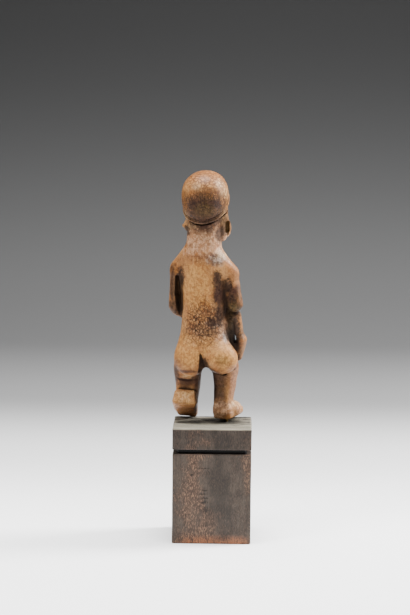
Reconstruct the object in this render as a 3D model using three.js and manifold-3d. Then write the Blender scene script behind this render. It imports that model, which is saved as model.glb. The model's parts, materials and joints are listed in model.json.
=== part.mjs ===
// A small carved wooden figure in a close cap, on a square wooden plinth.
// Millimetres, +Z up. The origin is the middle of the plinth's underside. The plinth's sides
// lie along X and Y; the figure faces -Y, turned a little on its stand.
//
// The figure is one piece of wood, so it is described as one field: for a point, about how far
// it lies outside the wood. Round and square masses are joined softly, as a knife would leave
// them, the slits beside the arms are cut away, and the surface where the field is zero
// becomes the mesh. Its own axes are x to the figure's left, y to its back and z up from
// the sole of its right foot.

import * as THREE from 'three';
import { mergeVertices } from 'three/addons/utils/BufferGeometryUtils.js';
import Module from 'manifold-3d';

const wasm = await Module();
wasm.setup();

// Driving dimensions

const PLINTH = {
  side: 50, height: 74, slabSide: 50.2, slabHeight: 13.6,
  grooveHeight: 2.9, grooveDepth: 3.4, cornerRadius: 0.9, edgeWear: 0.7,
};

const PIN = {
  radius: 0.75, at: [-9.2, -5.0], inPlinth: 7, inFoot: 4.5, holeClearance: 0.32, endGap: 0.3,
};

const STANCE = { turn: -9, at: [5.1, -4], liftOffPlinth: 2.6 };

// Level sections are [height, half width, half depth, middle x, middle y].
const TRUNK = {
  squareness: 2.8, endRadius: 4,
  sections: [
    [33, 12.5, 7.0, -0.5, 0.0],      // crotch
    [36, 16.4, 9.2, -1.0, 0.2],
    [40, 17.9, 10.4, -0.8, 0.4],     // hips
    [47, 17.2, 10.8, 0.6, 0.0],
    [56, 14.8, 10.4, 1.3, -1.0],     // waist
    [64, 14.2, 10.2, 1.1, -1.4],
    [76, 13.7, 10.4, 0.9, -0.4],     // ribs
    [88, 13.9, 10.6, 1.0, 0.4],      // shoulder blades
    [97, 14.4, 9.8, 0.9, 0.6],
    [105, 11.2, 8.6, 1.5, 1.0],      // root of the neck
  ],
  belly: { at: [-0.4, -4.8, 57], size: [16.2, 8.6, 18] },
  blend: 3,
};

const NECK = { from: [1.5, 0.6, 98], to: [0.9, 1.4, 126], radii: [11.3, 10.9], blend: 5 };

const SHOULDERS = {
  left: { from: [8.8, 1.0, 105.2], to: [17.2, -0.5, 96.4], radii: [7.0, 6.2] },
  right: { from: [-5.8, 1.0, 102.6], to: [-15.4, 0.4, 94.6], radii: [7.0, 5.4] },
  blend: 4,
};

const LEGS = {
  right: {
    squareness: 3.4, turn: -16, endRadius: 3,
    sections: [
      [3, 5.7, 5.6, -12.1, 1.2],     // ankle
      [9, 5.8, 5.2, -12.1, 0.4],
      [15, 5.9, 5.4, -12.1, -1.6],
      [20, 6.4, 6.0, -12.4, -3.4],   // knee
      [25, 6.8, 6.6, -12.5, -3.2],
      [30, 7.8, 7.4, -12.6, -2.4],
      [35, 9.6, 8.0, -11.2, -1.0],
      [42, 9.0, 9.0, -9.0, 0.0],     // hip
    ],
  },
  left: {
    squareness: 3, turn: 0, endRadius: 3,
    sections: [
      [7, 6.6, 6.6, 11.8, 0.0],
      [13, 7.0, 6.4, 11.8, -1.4],
      [19, 7.7, 6.8, 11.8, -3.6],
      [24, 8.1, 7.4, 11.8, -3.4],
      [29, 8.7, 8.0, 11.7, -2.2],
      [34, 9.9, 8.6, 10.4, -0.9],
      [42, 9.8, 9.0, 8.2, 0.0],
    ],
  },
  blend: 2.5,
};

const FEET = {
  right: {
    heel: [-11.8, 5.6, 0], turn: -9, pitch: 0, length: 30, edge: 2.2, blend: 2,
    soleHalfWidth: 5.9, topHalfWidth: 5.7, toeHalfWidth: 6.9, heelHeight: 9.5, toeHeight: 5.4,
    littleToe: -0.8,
    ankleBone: { at: [-16.7, -5.6, 6.1], size: [6.0, 7.6, 4.9] },
  },
  left: {
    heel: [12.05, 9.6, 10.4], turn: 6, pitch: 24.6, tilt: -3.8, length: 31, edge: 2.2, blend: 0.8,
    soleHalfWidth: 7.9, topHalfWidth: 6.1, toeHalfWidth: 7.2, heelHeight: 10.1, toeHeight: 5,
    littleToe: 0.9,
  },
};

const BUTTOCKS = {
  right: { at: [-11.6, 6.2, 38.8], size: [10.3, 8.9, 9.4] },
  left: { at: [8.7, 5.4, 38.4], size: [10.0, 8.4, 11.0] },
  cleft: 0.6, foldBlend: 0.6, backBlend: 4.5, foldHeight: 33, backHeight: 45, leftThighBlend: 1.4,
  gap: { from: [1.2, 12.0, 43.0], to: [0.5, 7.5, 31.0], radii: [0.3, 3.5], deep: 1.3 },
};

const ARMS = {
  left: {
    upper: { from: [18.0, -1.5, 92.4], to: [19.8, -2.0, 72.0], radii: [5.5, 4.7], deep: 1.25 },
    forearm: { from: [18.6, -2.4, 69.6], to: [10.5, -13.0, 64.5], radii: [4.2, 3.3] },
    hand: { at: [4.0, -13.2, 63.5], tilt: -8, turn: 12, size: [7.5, 2.2, 4.2], edge: 1.8 },
    hollow: [
      { from: [18.2, 6.0, 91.0], to: [17.6, 6.0, 80.0], radii: [0.7, 1.9], deep: 3.6 },
      { from: [17.6, 6.0, 80.0], to: [16.6, 6.0, 66.5], radii: [1.9, 1.0], deep: 3.6 },
    ],
    hollowBlend: 6,
  },
  right: {
    upper: { from: [-15.7, 0, 91.6], to: [-19.2, 1.3, 74.2], radii: [5.3, 5.1] },
    forearm: { from: [-18.4, -3.2, 66.4], to: [-20.2, -6.0, 54.5], radii: [4.0, 3.5] },
    hand: { from: [-21.7, -7.5, 50.2], to: [-20.2, -9.0, 39.0], radii: [4.0, 2.5], deep: 1.5 },
    web: { from: [-14.6, -3.6, 74], to: [-17.8, -6.0, 43], radii: [3.6, 3.4] },
    slits: [
      { from: [-12.8, 6.5, 79], to: [-15.0, 4.5, 61.5], radii: [0.3, 1.1], deep: 3.6 },
      { from: [-17.5, 2.0, 62.0], to: [-18.8, 0.0, 49.0], radii: [1.0, 1.1], deep: 3.0 },
    ],
  },
};

// The head's own axes start at its middle and lean back with it. A feature with a mirror twin
// is given once, on the left, and the right one is its mirror.
const HEAD = {
  at: [0.5, -1.0, 131.0], lean: 12, turn: -4,
  skull: { at: [0, 0.6, 7.0], size: [13.7, 15.4, 17.0] },
  face: { at: [0, -4.6, -6.0], size: [13.2, 11.6, 14.6] },
  jaw: { at: [0, -9.3, -15.2], size: [7.6, 7.2, 6.6] },
  brow: { from: [-8, -13.2, 1.8], to: [6.5, -12.8, 2.2], radii: [1.8, 1.4] },
  socket: { at: [5.4, -16.4, -2.0], size: [4.3, 2.6, 2.6] },
  eye: { at: [5.3, -12.9, -2.2], size: [3.6, 2.0, 1.7] },
  nose: { from: [0, -14.2, 0.8], to: [0, -16.6, -6.0], radii: [1.4, 2.3] },
  nostril: { at: [2.4, -15.2, -6.9], size: [1.9, 2.0, 1.5] },
  upperLip: { at: [0, -14.8, -11.6], size: [4.9, 2.5, 1.4] },
  lowerLip: { at: [0, -14.6, -14.2], size: [4.3, 2.6, 1.5] },
  // Each ear grows out of a broad mass behind it; the right one has a deep hollow in its back.
  rightEar: {
    root: { from: [-10.6, 2.0, 3.0], to: [-10.2, 2.6, -13.4], radii: [4.3, 3.4] },
    shell: { at: [-12.9, -0.8, -8.6], size: [2.9, 3.4, 6.2] },
    rim: { from: [-15.2, 0.8, -4.2], to: [-14.4, 1.6, -12.4], radii: [0.7, 0.7] },
    hollow: { from: [-14.2, 3.6, -4.6], to: [-14.2, 3.6, -10.0], radii: [1.3, 1.4], deep: 2.4 },
  },
  leftEar: {
    root: { from: [9.0, 2.0, 0.0], to: [9.2, 2.8, -9.6], radii: [3.9, 2.8] },
    shell: { at: [11.9, 0.4, -7.2], size: [3.0, 3.0, 4.2] },
    rim: { from: [14.6, 1.4, -7.2], to: [11.4, 2.4, -8.2], radii: [1.2, 1.0] },
    hollow: { from: [14.0, 4.2, -9.4], to: [12.0, 4.4, -11.8], radii: [1.2, 0.9], deep: 2.2 },
  },
  earBlends: { root: 2.5, shell: 1.2, rim: 0.6, cut: 0.5 },
};

const CAP = {
  at: [0, 0.6, 12.2], size: [14.45, 16.9, 16.0], lowerHeight: 19.0, squareness: 2.3,
  edgeHeight: 4.4, edgeSlope: 0.55, domeEnd: 2.6,
  rolls: [
    { below: -1.5, halfWidth: 1.0, raised: 0.7, blend: 0.8 },
    { below: 1.4, halfWidth: 0.8, raised: 0.3, blend: 0.8 },
  ],
};

// The lattice that the surface is found on. Its cells, as [height, size], are finest at the face.
const LATTICE = {
  cells: [[-7, 2.8], [98, 2.95], [113, 1.65], [133, 1.65], [148, 2.7], [164, 2.7]],
  halfWidth: 34, halfDepth: 30,
};

// Small vector and field helpers

const radians = THREE.MathUtils.degToRad;
const { clamp, lerp, smoothstep } = THREE.MathUtils;

// Soft union of two fields: k is the width of the fillet.
function join(a, b, k) {
  const h = clamp(0.5 + 0.5 * (b - a) / k, 0, 1);
  return lerp(b, a, h) - k * h * (1 - h);
}

// Soft overlap of two fields, which also cuts: join's opposite.
const overlap = (a, b, k) => -join(-a, -b, k);
const cut = (a, b, k) => overlap(a, -b, k);

function ellipsoid(p, { at, size }) {
  let near = 0, steep = 0;
  for (let i = 0; i < 3; i++) {
    const q = (p[i] - at[i]) / size[i];
    near += q * q;
    steep += (q / size[i]) ** 2;
  }
  const k = Math.sqrt(near);
  return k * (k - 1) / Math.max(Math.sqrt(steep), 1e-6);
}

// A round limb that tapers between two points; deep stretches its section along y.
function limb(p, { from, to, radii, deep = 1 }) {
  const scale = [1, deep, 1];
  const a = p.map((v, i) => (v - from[i]) / scale[i]);
  const b = to.map((v, i) => (v - from[i]) / scale[i]);
  const t = clamp((a[0] * b[0] + a[1] * b[1] + a[2] * b[2]) / (b[0] ** 2 + b[1] ** 2 + b[2] ** 2), 0, 1);
  return Math.hypot(a[0] - b[0] * t, a[1] - b[1] * t, a[2] - b[2] * t) - lerp(radii[0], radii[1], t);
}

// Distance to a box about the origin with edges rounded to the given radius.
function roundedBox(q, half, edge) {
  const d = q.map((v, i) => Math.abs(v) - (half[i] - edge));
  const outside = Math.hypot(...d.map((v) => Math.max(v, 0)));
  return outside + Math.min(Math.max(...d), 0) - edge;
}

// A point seen from a part that stands at "at", turned about x, then y, then z.
function seenFrom(p, at, { pitch = 0, tilt = 0, turn = 0 }) {
  let [x, y, z] = p.map((v, i) => v - at[i]);
  const rotate = (u, v, angle) => {
    const a = radians(-angle);
    return [u * Math.cos(a) - v * Math.sin(a), u * Math.sin(a) + v * Math.cos(a)];
  };
  [x, y] = rotate(x, y, turn);
  [z, x] = rotate(z, x, tilt);
  [y, z] = rotate(y, z, pitch);
  return [x, y, z];
}

// A smooth value between the rows of a section list, by cubic Hermite pieces.
function between(rows, column, z) {
  const last = rows.length - 1;
  const at = clamp(z, rows[0][0], rows[last][0]);
  let i = 0;
  while (i < last - 1 && at > rows[i + 1][0]) i++;
  const slope = (k) => {
    const lo = Math.max(k - 1, 0), hi = Math.min(k + 1, last);
    return (rows[hi][column] - rows[lo][column]) / (rows[hi][0] - rows[lo][0]);
  };
  const height = rows[i + 1][0] - rows[i][0];
  const t = (at - rows[i][0]) / height;
  const rise = t * t * (3 - 2 * t);
  return lerp(rows[i][column], rows[i + 1][column], rise)
    + height * t * (1 - t) * ((1 - t) * slope(i) - t * slope(i + 1));
}

// A mass through level sections, each a rounded square.
function sectioned(p, { sections, squareness, turn = 0, endRadius }) {
  const [w, d, cx, cy] = [1, 2, 3, 4].map((column) => between(sections, column, p[2]));
  const [x, y] = seenFrom(p, [cx, cy, p[2]], { turn });
  const n = (Math.abs(x / w) ** squareness + Math.abs(y / d) ** squareness) ** (1 / squareness);
  const ends = Math.max(sections[0][0] - p[2], p[2] - sections.at(-1)[0]);
  return overlap((n - 1) * Math.min(w, d), ends, endRadius);
}

// A foot is a block that narrows upwards, thins towards the toes and draws in at the little one.
function foot(p, f) {
  const [x, y, z] = seenFrom(p, f.heel, f);
  const along = clamp(-y / f.length, 0, 1);
  const heelWidth = lerp(f.soleHalfWidth, f.topHalfWidth, clamp(z / f.heelHeight, 0, 1));
  const drawnIn = f.littleToe * smoothstep(along, 0.5, 1.1);
  const halfWidth = lerp(heelWidth, f.toeHalfWidth, along) - Math.abs(drawnIn);
  const halfHeight = lerp(f.heelHeight, f.toeHeight, along ** 0.8) / 2;
  const middle = [x + drawnIn, y + f.length / 2, z - halfHeight];
  return roundedBox(middle, [halfWidth, f.length / 2, halfHeight], f.edge);
}

// The parts of the figure

function capDome(q) {
  const { at, size, lowerHeight, squareness: e } = CAP;
  const height = q[2] > at[2] ? size[2] : lowerHeight;
  const n = (Math.abs((q[0] - at[0]) / size[0]) ** e + Math.abs((q[1] - at[1]) / size[1]) ** e
    + Math.abs((q[2] - at[2]) / height) ** e) ** (1 / e);
  return (n - 1) * Math.min(...size);
}

// The cap's dome ends at a sloping edge, with two rolls under it.
function cap(q) {
  const dome = capDome(q);
  const below = (CAP.edgeHeight - CAP.edgeSlope * q[1] - q[2]) / Math.hypot(1, CAP.edgeSlope);
  let d = overlap(dome, below + CAP.domeEnd, 0.5);
  for (const roll of CAP.rolls) {
    const strip = Math.abs(below - roll.below) - roll.halfWidth;
    d = join(d, overlap(dome - roll.raised, strip, roll.blend), 0.3);
  }
  return d;
}

function withEar(q, d, ear) {
  const k = HEAD.earBlends;
  d = join(d, limb(q, ear.root), k.root);
  d = join(d, ellipsoid(q, ear.shell), k.shell);
  d = join(d, limb(q, ear.rim), k.rim);
  return cut(d, limb(q, ear.hollow), k.cut);
}

function head(p) {
  const q = seenFrom(p, HEAD.at, { pitch: -HEAD.lean, turn: HEAD.turn });
  const m = [Math.abs(q[0]), q[1], q[2]];
  let d = join(ellipsoid(q, HEAD.skull), ellipsoid(q, HEAD.face), 4);
  d = join(d, ellipsoid(q, HEAD.jaw), 4);
  d = join(d, limb(m, HEAD.brow), 1.8);
  d = cut(d, ellipsoid(m, HEAD.socket), 1.2);
  d = join(d, ellipsoid(m, HEAD.eye), 0.25);
  d = join(d, limb(q, HEAD.nose), 1.2);
  d = join(d, ellipsoid(m, HEAD.nostril), 0.6);
  d = join(d, ellipsoid(q, HEAD.upperLip), 0.35);
  d = join(d, ellipsoid(q, HEAD.lowerLip), 0.35);
  d = withEar(q, withEar(q, d, HEAD.rightEar), HEAD.leftEar);
  return join(d, cap(q), 0.3);
}

function torso(p) {
  const body = join(sectioned(p, TRUNK), ellipsoid(p, TRUNK.belly), TRUNK.blend);
  const shoulders = join(limb(p, SHOULDERS.left), limb(p, SHOULDERS.right), SHOULDERS.blend);
  return join(join(body, limb(p, NECK), NECK.blend), shoulders, SHOULDERS.blend);
}

function legs(p) {
  const bone = ellipsoid(p, FEET.right.ankleBone);
  const rightFoot = join(foot(p, FEET.right), bone, FEET.right.blend);
  const right = join(sectioned(p, LEGS.right), rightFoot, FEET.right.blend);
  const left = join(sectioned(p, LEGS.left), foot(p, FEET.left), FEET.left.blend);
  return join(right, left, 1);
}

// The fillet round the buttocks is wide where they run into the back and tight in the fold
// under the right one; the left one runs on into the thigh.
function buttocks(p, d) {
  const b = BUTTOCKS;
  const high = smoothstep(p[2], b.foldHeight, b.backHeight);
  const leftSide = smoothstep(p[0], -2, 3);
  const fillet = lerp(b.foldBlend + b.leftThighBlend * leftSide, b.backBlend, high);
  d = join(d, join(ellipsoid(p, b.right), ellipsoid(p, b.left), b.cleft), fillet);
  return cut(d, limb(p, b.gap), 0.8);
}

function arms(p, d) {
  const { left, right } = ARMS;
  const hand = roundedBox(seenFrom(p, left.hand.at, left.hand), left.hand.size, left.hand.edge);
  const lowerLeft = join(limb(p, left.forearm), hand, 2);
  d = join(d, join(limb(p, left.upper), lowerLeft, 1.2), 2.5);
  const lowerRight = join(join(limb(p, right.forearm), limb(p, right.hand), 2.5), limb(p, right.web), 1.5);
  d = join(join(d, limb(p, right.upper), 3), lowerRight, 1);
  for (const slit of right.slits) d = cut(d, limb(p, slit), 0.8);
  const [upper, lower] = left.hollow.map((half) => limb(p, half));
  return cut(d, join(upper, lower, left.hollowBlend), 0.7);
}

function figureField(p) {
  return join(arms(p, buttocks(p, join(torso(p), legs(p), LEGS.blend))), head(p), 1);
}

// The surface of a field

// Levels of the lattice, from the bottom up, each with its own cell size.
function latticeLevels(cells) {
  const levels = [];
  for (let z = cells[0][0]; z < cells.at(-1)[0];) {
    const cell = between(cells, 1, z);
    levels.push({ z, cell });
    z += cell;
  }
  return levels;
}

// The corners of a cell are numbered by three bits, and its edges join corners that differ in
// one of them.
const CORNERS = [0, 1, 2, 3, 4, 5, 6, 7].map((c) => [c & 1, (c >> 1) & 1, c >> 2]);
const EDGES = CORNERS.flatMap((_, c) => [1, 2, 4].filter((bit) => !(c & bit)).map((bit) => [c, c | bit]));

// Whether the corners in a mask hang together along the cell's edges.
const HANGS_TOGETHER = Array.from({ length: 256 }, (_, mask) => {
  let reached = mask & -mask;
  for (let round = 0; round < 8; round++)
    for (const [a, b] of EDGES)
      if ((reached >> a & 1 || reached >> b & 1) && mask >> a & 1 && mask >> b & 1) reached |= 1 << a | 1 << b;
  return reached === mask;
});

// Two sheets of the surface in one cell would share a vertex. There the corner nearest to the
// surface changes sides, until wood and air are each in one piece in every cell.
function untangle(values, cells, cornersOf) {
  for (let changed = true; changed;) {
    changed = false;
    for (const cell of cells) {
      const nodes = cornersOf(cell);
      const mask = nodes.reduce((m, n, c) => m | (values[n] < 0) << c, 0);
      if (HANGS_TOGETHER[mask] && HANGS_TOGETHER[255 ^ mask]) continue;
      const nearest = nodes.reduce((a, b) => (Math.abs(values[b]) < Math.abs(values[a]) ? b : a));
      values[nearest] = -Math.sign(values[nearest]) * (Math.abs(values[nearest]) + 0.05);
      changed = true;
    }
  }
}

// Surface nets: each lattice cell that the surface crosses gets one vertex, and each lattice
// edge that it crosses gets a quad of the four cells round it.
function surfaceOf(field, lattice) {
  const levels = latticeLevels(lattice.cells);
  const finest = Math.min(...levels.map(({ cell }) => cell));
  const nx = 2 * Math.ceil(lattice.halfWidth / finest) + 1;
  const ny = 2 * Math.ceil(lattice.halfDepth / finest) + 1;
  const nz = levels.length;
  const node = (i, j, k) => i + nx * (j + ny * k);
  const place = (i, j, k) => {
    const { z, cell } = levels[k];
    return [(i - (nx - 1) / 2) * cell, (j - (ny - 1) / 2) * cell, z];
  };
  const values = new Float64Array(nx * ny * nz);
  for (let k = 0; k < nz; k++)
    for (let j = 0; j < ny; j++)
      for (let i = 0; i < nx; i++) values[node(i, j, k)] = field(place(i, j, k));

  const cells = [];
  for (let k = 0; k < nz - 1; k++)
    for (let j = 0; j < ny - 1; j++)
      for (let i = 0; i < nx - 1; i++) cells.push([i, j, k]);
  untangle(values, cells, ([i, j, k]) => CORNERS.map(([a, b, c]) => node(i + a, j + b, k + c)));

  const vertexOf = new Int32Array(nx * ny * nz).fill(-1);
  const vertices = [];
  for (const [i, j, k] of cells) {
    const at = CORNERS.map(([a, b, c]) => [i + a, j + b, k + c]);
    const v = at.map((n) => values[node(...n)]);
    const sum = [0, 0, 0];
    let count = 0;
    for (const [a, b] of EDGES) {
      if ((v[a] < 0) === (v[b] < 0)) continue;
      const t = v[a] / (v[a] - v[b]);
      const from = place(...at[a]), to = place(...at[b]);
      for (let n = 0; n < 3; n++) sum[n] += lerp(from[n], to[n], t);
      count++;
    }
    if (!count) continue;
    vertexOf[node(i, j, k)] = vertices.length;
    vertices.push(ontoSurface(field, sum.map((n) => n / count), levels[k].cell * 0.35));
  }

  const faces = [];
  const quad = (a, b, c, d, flip) => {
    const q = (flip ? [a, d, c, b] : [a, b, c, d]).map((n) => vertexOf[n]);
    const gap = (m, n) => Math.hypot(...vertices[q[m]].map((v, i) => v - vertices[q[n]][i]));
    if (gap(0, 2) < gap(1, 3)) faces.push(q[0], q[1], q[2], q[0], q[2], q[3]);
    else faces.push(q[1], q[2], q[3], q[1], q[3], q[0]);
  };
  for (let k = 1; k < nz - 1; k++)
    for (let j = 1; j < ny - 1; j++)
      for (let i = 1; i < nx - 1; i++) {
        const inside = values[node(i, j, k)] < 0;
        if (inside !== values[node(i + 1, j, k)] < 0)
          quad(node(i, j - 1, k - 1), node(i, j, k - 1), node(i, j, k), node(i, j - 1, k), !inside);
        if (inside !== values[node(i, j + 1, k)] < 0)
          quad(node(i - 1, j, k - 1), node(i - 1, j, k), node(i, j, k), node(i, j, k - 1), !inside);
        if (inside !== values[node(i, j, k + 1)] < 0)
          quad(node(i - 1, j - 1, k), node(i, j - 1, k), node(i, j, k), node(i - 1, j, k), !inside);
      }
  const geometry = new THREE.BufferGeometry();
  geometry.setAttribute('position', new THREE.Float32BufferAttribute(vertices.flat(), 3));
  geometry.setIndex(faces);
  return geometry;
}

// Slides a point along the field's slope to where the field is zero, no further than reach.
function ontoSurface(field, start, reach) {
  const h = 0.05;
  let p = start;
  for (let round = 0; round < 2; round++) {
    const slope = [0, 1, 2].map((i) => {
      const step = [0, 0, 0];
      step[i] = h;
      return (field(p.map((v, n) => v + step[n])) - field(p.map((v, n) => v - step[n]))) / (2 * h);
    });
    const steep = Math.max(slope[0] ** 2 + slope[1] ** 2 + slope[2] ** 2, 0.05);
    const d = field(p);
    p = p.map((v, i) => v - d * slope[i] / steep);
  }
  const moved = p.map((v, i) => v - start[i]);
  const far = Math.hypot(...moved);
  return far > reach ? start.map((v, i) => v + moved[i] * reach / far) : p;
}

// Solids

function toManifold(geometry) {
  const bare = geometry.clone();
  for (const name of Object.keys(bare.attributes)) if (name !== 'position') bare.deleteAttribute(name);
  const merged = mergeVertices(bare, 1e-4);
  return new wasm.Manifold(new wasm.Mesh({
    numProp: 3,
    vertProperties: new Float32Array(merged.attributes.position.array),
    triVerts: new Uint32Array(merged.index.array),
  }));
}

function toGeometry(solid) {
  const mesh = solid.getMesh();
  const geometry = new THREE.BufferGeometry();
  geometry.setAttribute('position', new THREE.Float32BufferAttribute(mesh.vertProperties, 3));
  geometry.setIndex(Array.from(mesh.triVerts));
  return geometry;
}

function upright(radius, bottom, top, sides) {
  const [x, y] = PIN.at;
  return new THREE.CylinderGeometry(radius, radius, top - bottom, sides)
    .rotateX(Math.PI / 2)
    .translate(x, y, (bottom + top) / 2);
}

// A square post given by rows of [height, half side], with rounded corners.
function squarePost(rows, cornerRadius, cornerSteps = 3) {
  const ring = (half) => {
    const points = [];
    for (let corner = 0; corner < 4; corner++)
      for (let s = 0; s <= cornerSteps; s++) {
        const a = (corner + s / cornerSteps) * Math.PI / 2;
        const middle = (corner + 0.5) * Math.PI / 2;
        const inset = (half - cornerRadius) * Math.SQRT2;
        points.push([
          inset * Math.cos(middle) + cornerRadius * Math.cos(a),
          inset * Math.sin(middle) + cornerRadius * Math.sin(a),
        ]);
      }
    return points;
  };
  const positions = [], faces = [];
  const n = 4 * (cornerSteps + 1);
  rows.forEach(([z, half]) => ring(half).forEach(([x, y]) => positions.push(x, y, z)));
  for (let r = 0; r < rows.length - 1; r++)
    for (let i = 0; i < n; i++) {
      const a = r * n + i, b = r * n + (i + 1) % n;
      faces.push(a, b, b + n, a, b + n, a + n);
    }
  const last = (rows.length - 1) * n;
  const bottom = positions.length / 3, top = bottom + 1;
  positions.push(0, 0, rows[0][0], 0, 0, rows.at(-1)[0]);
  for (let i = 0; i < n; i++) {
    const j = (i + 1) % n;
    faces.push(bottom, j, i, top, last + i, last + j);
  }
  const geometry = new THREE.BufferGeometry();
  geometry.setAttribute('position', new THREE.Float32BufferAttribute(positions, 3));
  geometry.setIndex(faces);
  return geometry;
}

// Placing and cutting

const soleHeight = PLINTH.height + STANCE.liftOffPlinth;
const pinBottom = PLINTH.height - PIN.inPlinth;
const pinTop = soleHeight + PIN.inFoot;
const holeRadius = PIN.radius + PIN.holeClearance;

function plinthGeometry() {
  const { side, height, slabSide, slabHeight, grooveHeight, grooveDepth, cornerRadius, edgeWear } = PLINTH;
  const half = side / 2, slab = slabSide / 2, core = half - grooveDepth;
  const grooveTop = height - slabHeight, grooveBottom = grooveTop - grooveHeight;
  const body = squarePost([
    [0, half - edgeWear], [edgeWear, half], [grooveBottom - 0.3, half], [grooveBottom, half - 0.3],
    [grooveBottom + 0.15, core], [grooveTop - 0.15, core],
    [grooveTop, slab - 0.3], [grooveTop + 0.3, slab], [height - edgeWear, slab], [height, slab - edgeWear],
  ], cornerRadius);
  const hole = upright(holeRadius, pinBottom - PIN.endGap, height + 1, 12);
  return toGeometry(toManifold(body).subtract(toManifold(hole)));
}

function figureGeometry() {
  const carving = surfaceOf(figureField, LATTICE)
    .rotateZ(radians(STANCE.turn))
    .translate(STANCE.at[0], STANCE.at[1], soleHeight);
  const hole = upright(holeRadius, soleHeight - 1, pinTop + PIN.endGap, 12);
  return toGeometry(toManifold(carving).subtract(toManifold(hole)));
}

const honeyWood = new THREE.MeshStandardMaterial({ color: 0xb98556, roughness: 0.42, metalness: 0 });
const stainedWood = new THREE.MeshStandardMaterial({ color: 0x5d554e, roughness: 0.6, metalness: 0 });
const brass = new THREE.MeshStandardMaterial({ color: 0xb4975a, roughness: 0.35, metalness: 1 });

const statuette = new THREE.Group();

function addPiece(name, geometry, material) {
  const mesh = new THREE.Mesh(geometry, material);
  mesh.name = name;
  statuette.add(mesh);
}

addPiece('plinth', plinthGeometry(), stainedWood);
addPiece('mounting_pin', upright(PIN.radius, pinBottom, pinTop, 16), brass);
addPiece('figure', figureGeometry(), honeyWood);

export default statuette;
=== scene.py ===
import json
from functools import reduce
from math import cos, hypot, pi, radians, sin

import bpy
import numpy as np
from mathutils import Matrix, Vector

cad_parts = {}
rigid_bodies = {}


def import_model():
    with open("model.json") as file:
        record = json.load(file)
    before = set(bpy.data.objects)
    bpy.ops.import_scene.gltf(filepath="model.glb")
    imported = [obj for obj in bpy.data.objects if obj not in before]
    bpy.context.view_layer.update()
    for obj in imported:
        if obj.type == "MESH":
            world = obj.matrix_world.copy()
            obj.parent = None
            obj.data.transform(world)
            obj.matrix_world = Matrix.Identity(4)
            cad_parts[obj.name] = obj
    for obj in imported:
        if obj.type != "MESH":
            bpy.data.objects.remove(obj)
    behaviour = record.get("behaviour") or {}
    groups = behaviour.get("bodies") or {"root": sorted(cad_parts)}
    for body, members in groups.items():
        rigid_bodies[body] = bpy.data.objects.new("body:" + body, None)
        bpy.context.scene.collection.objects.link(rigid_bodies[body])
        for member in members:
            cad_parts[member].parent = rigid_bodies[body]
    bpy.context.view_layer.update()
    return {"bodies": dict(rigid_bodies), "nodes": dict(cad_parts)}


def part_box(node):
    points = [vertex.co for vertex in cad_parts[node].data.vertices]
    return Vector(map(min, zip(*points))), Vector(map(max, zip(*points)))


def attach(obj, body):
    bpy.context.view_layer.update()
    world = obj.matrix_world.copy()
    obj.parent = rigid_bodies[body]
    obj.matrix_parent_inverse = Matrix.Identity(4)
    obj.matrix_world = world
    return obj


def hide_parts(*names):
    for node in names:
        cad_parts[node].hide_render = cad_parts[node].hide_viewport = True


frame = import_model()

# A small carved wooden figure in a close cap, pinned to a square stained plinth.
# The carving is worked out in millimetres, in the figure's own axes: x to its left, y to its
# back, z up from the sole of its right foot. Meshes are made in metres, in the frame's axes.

MM = 0.001
ROOT = list(frame["bodies"])[0]


# Sizes

def node_box(name):
    """Lowest and highest corner of a CAD node, in millimetres."""
    return [np.array(corner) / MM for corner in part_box(name)]


def rod(start, end, radii, deep=1):
    """The sizes of a round limb between two points."""
    return dict(start=start, end=end, radii=radii, deep=deep)


plinth_low, plinth_high = node_box("plinth")

PLINTH_HEIGHT = plinth_high[2]
SLAB_SIDE = plinth_high[0] - plinth_low[0]
BLOCK_SIDE = SLAB_SIDE - 0.2
SLAB_HEIGHT = 13.6
GROOVE_HEIGHT = 2.9
GROOVE_DEPTH = 3.4
CORNER_RADIUS = 0.9
EDGE_WEAR = 0.7

STANCE = dict(turn=-9, at=(5.1, -4), lift=2.6)
SOLE = PLINTH_HEIGHT + STANCE["lift"]

# Level sections are (height, half width, half depth, middle x, middle y).
TRUNK = dict(
    squareness=2.8, end=4, blend=3,
    sections=(
        (33, 12.5, 7, -0.5, 0),  # crotch
        (36, 16.4, 9.2, -1, 0.2),
        (40, 17.9, 10.4, -0.8, 0.4),  # hips
        (47, 17.2, 10.8, 0.6, 0),
        (56, 14.8, 10.4, 1.3, -1),  # waist
        (64, 14.2, 10.2, 1.1, -1.4),
        (76, 13.7, 10.4, 0.9, -0.4),  # ribs
        (88, 13.9, 10.6, 1, 0.4),  # shoulder blades
        (97, 14.4, 9.8, 0.9, 0.6),
        (105, 11.2, 8.6, 1.5, 1),  # root of the neck
    ),
    belly=dict(at=(-0.4, -4.8, 57), size=(16.2, 8.6, 18)),
)
NECK = rod((1.5, 0.6, 98), (0.9, 1.4, 126), (11.3, 10.9))
SHOULDERS = dict(
    left=rod((8.8, 1, 105.2), (17.2, -0.5, 96.4), (7, 6.2)),
    right=rod((-5.8, 1, 102.6), (-15.4, 0.4, 94.6), (7, 5.4)),
    blend=4,
)
RIGHT_LEG = dict(
    squareness=3.4, turn=-16, end=3,
    sections=(
        (3, 5.7, 5.6, -12.1, 1.2),  # ankle
        (9, 5.8, 5.2, -12.1, 0.4),
        (15, 5.9, 5.4, -12.1, -1.6),
        (20, 6.4, 6, -12.4, -3.4),  # knee
        (25, 6.8, 6.6, -12.5, -3.2),
        (30, 7.8, 7.4, -12.6, -2.4),
        (35, 9.6, 8, -11.2, -1),
        (42, 9, 9, -9, 0),  # hip
    ),
)
LEFT_LEG = dict(
    squareness=3, turn=0, end=3,
    sections=(
        (7, 6.6, 6.6, 11.8, 0),
        (13, 7, 6.4, 11.8, -1.4),
        (19, 7.7, 6.8, 11.8, -3.6),
        (24, 8.1, 7.4, 11.8, -3.4),
        (29, 8.7, 8, 11.7, -2.2),
        (34, 9.9, 8.6, 10.4, -0.9),
        (42, 9.8, 9, 8.2, 0),
    ),
)
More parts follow.
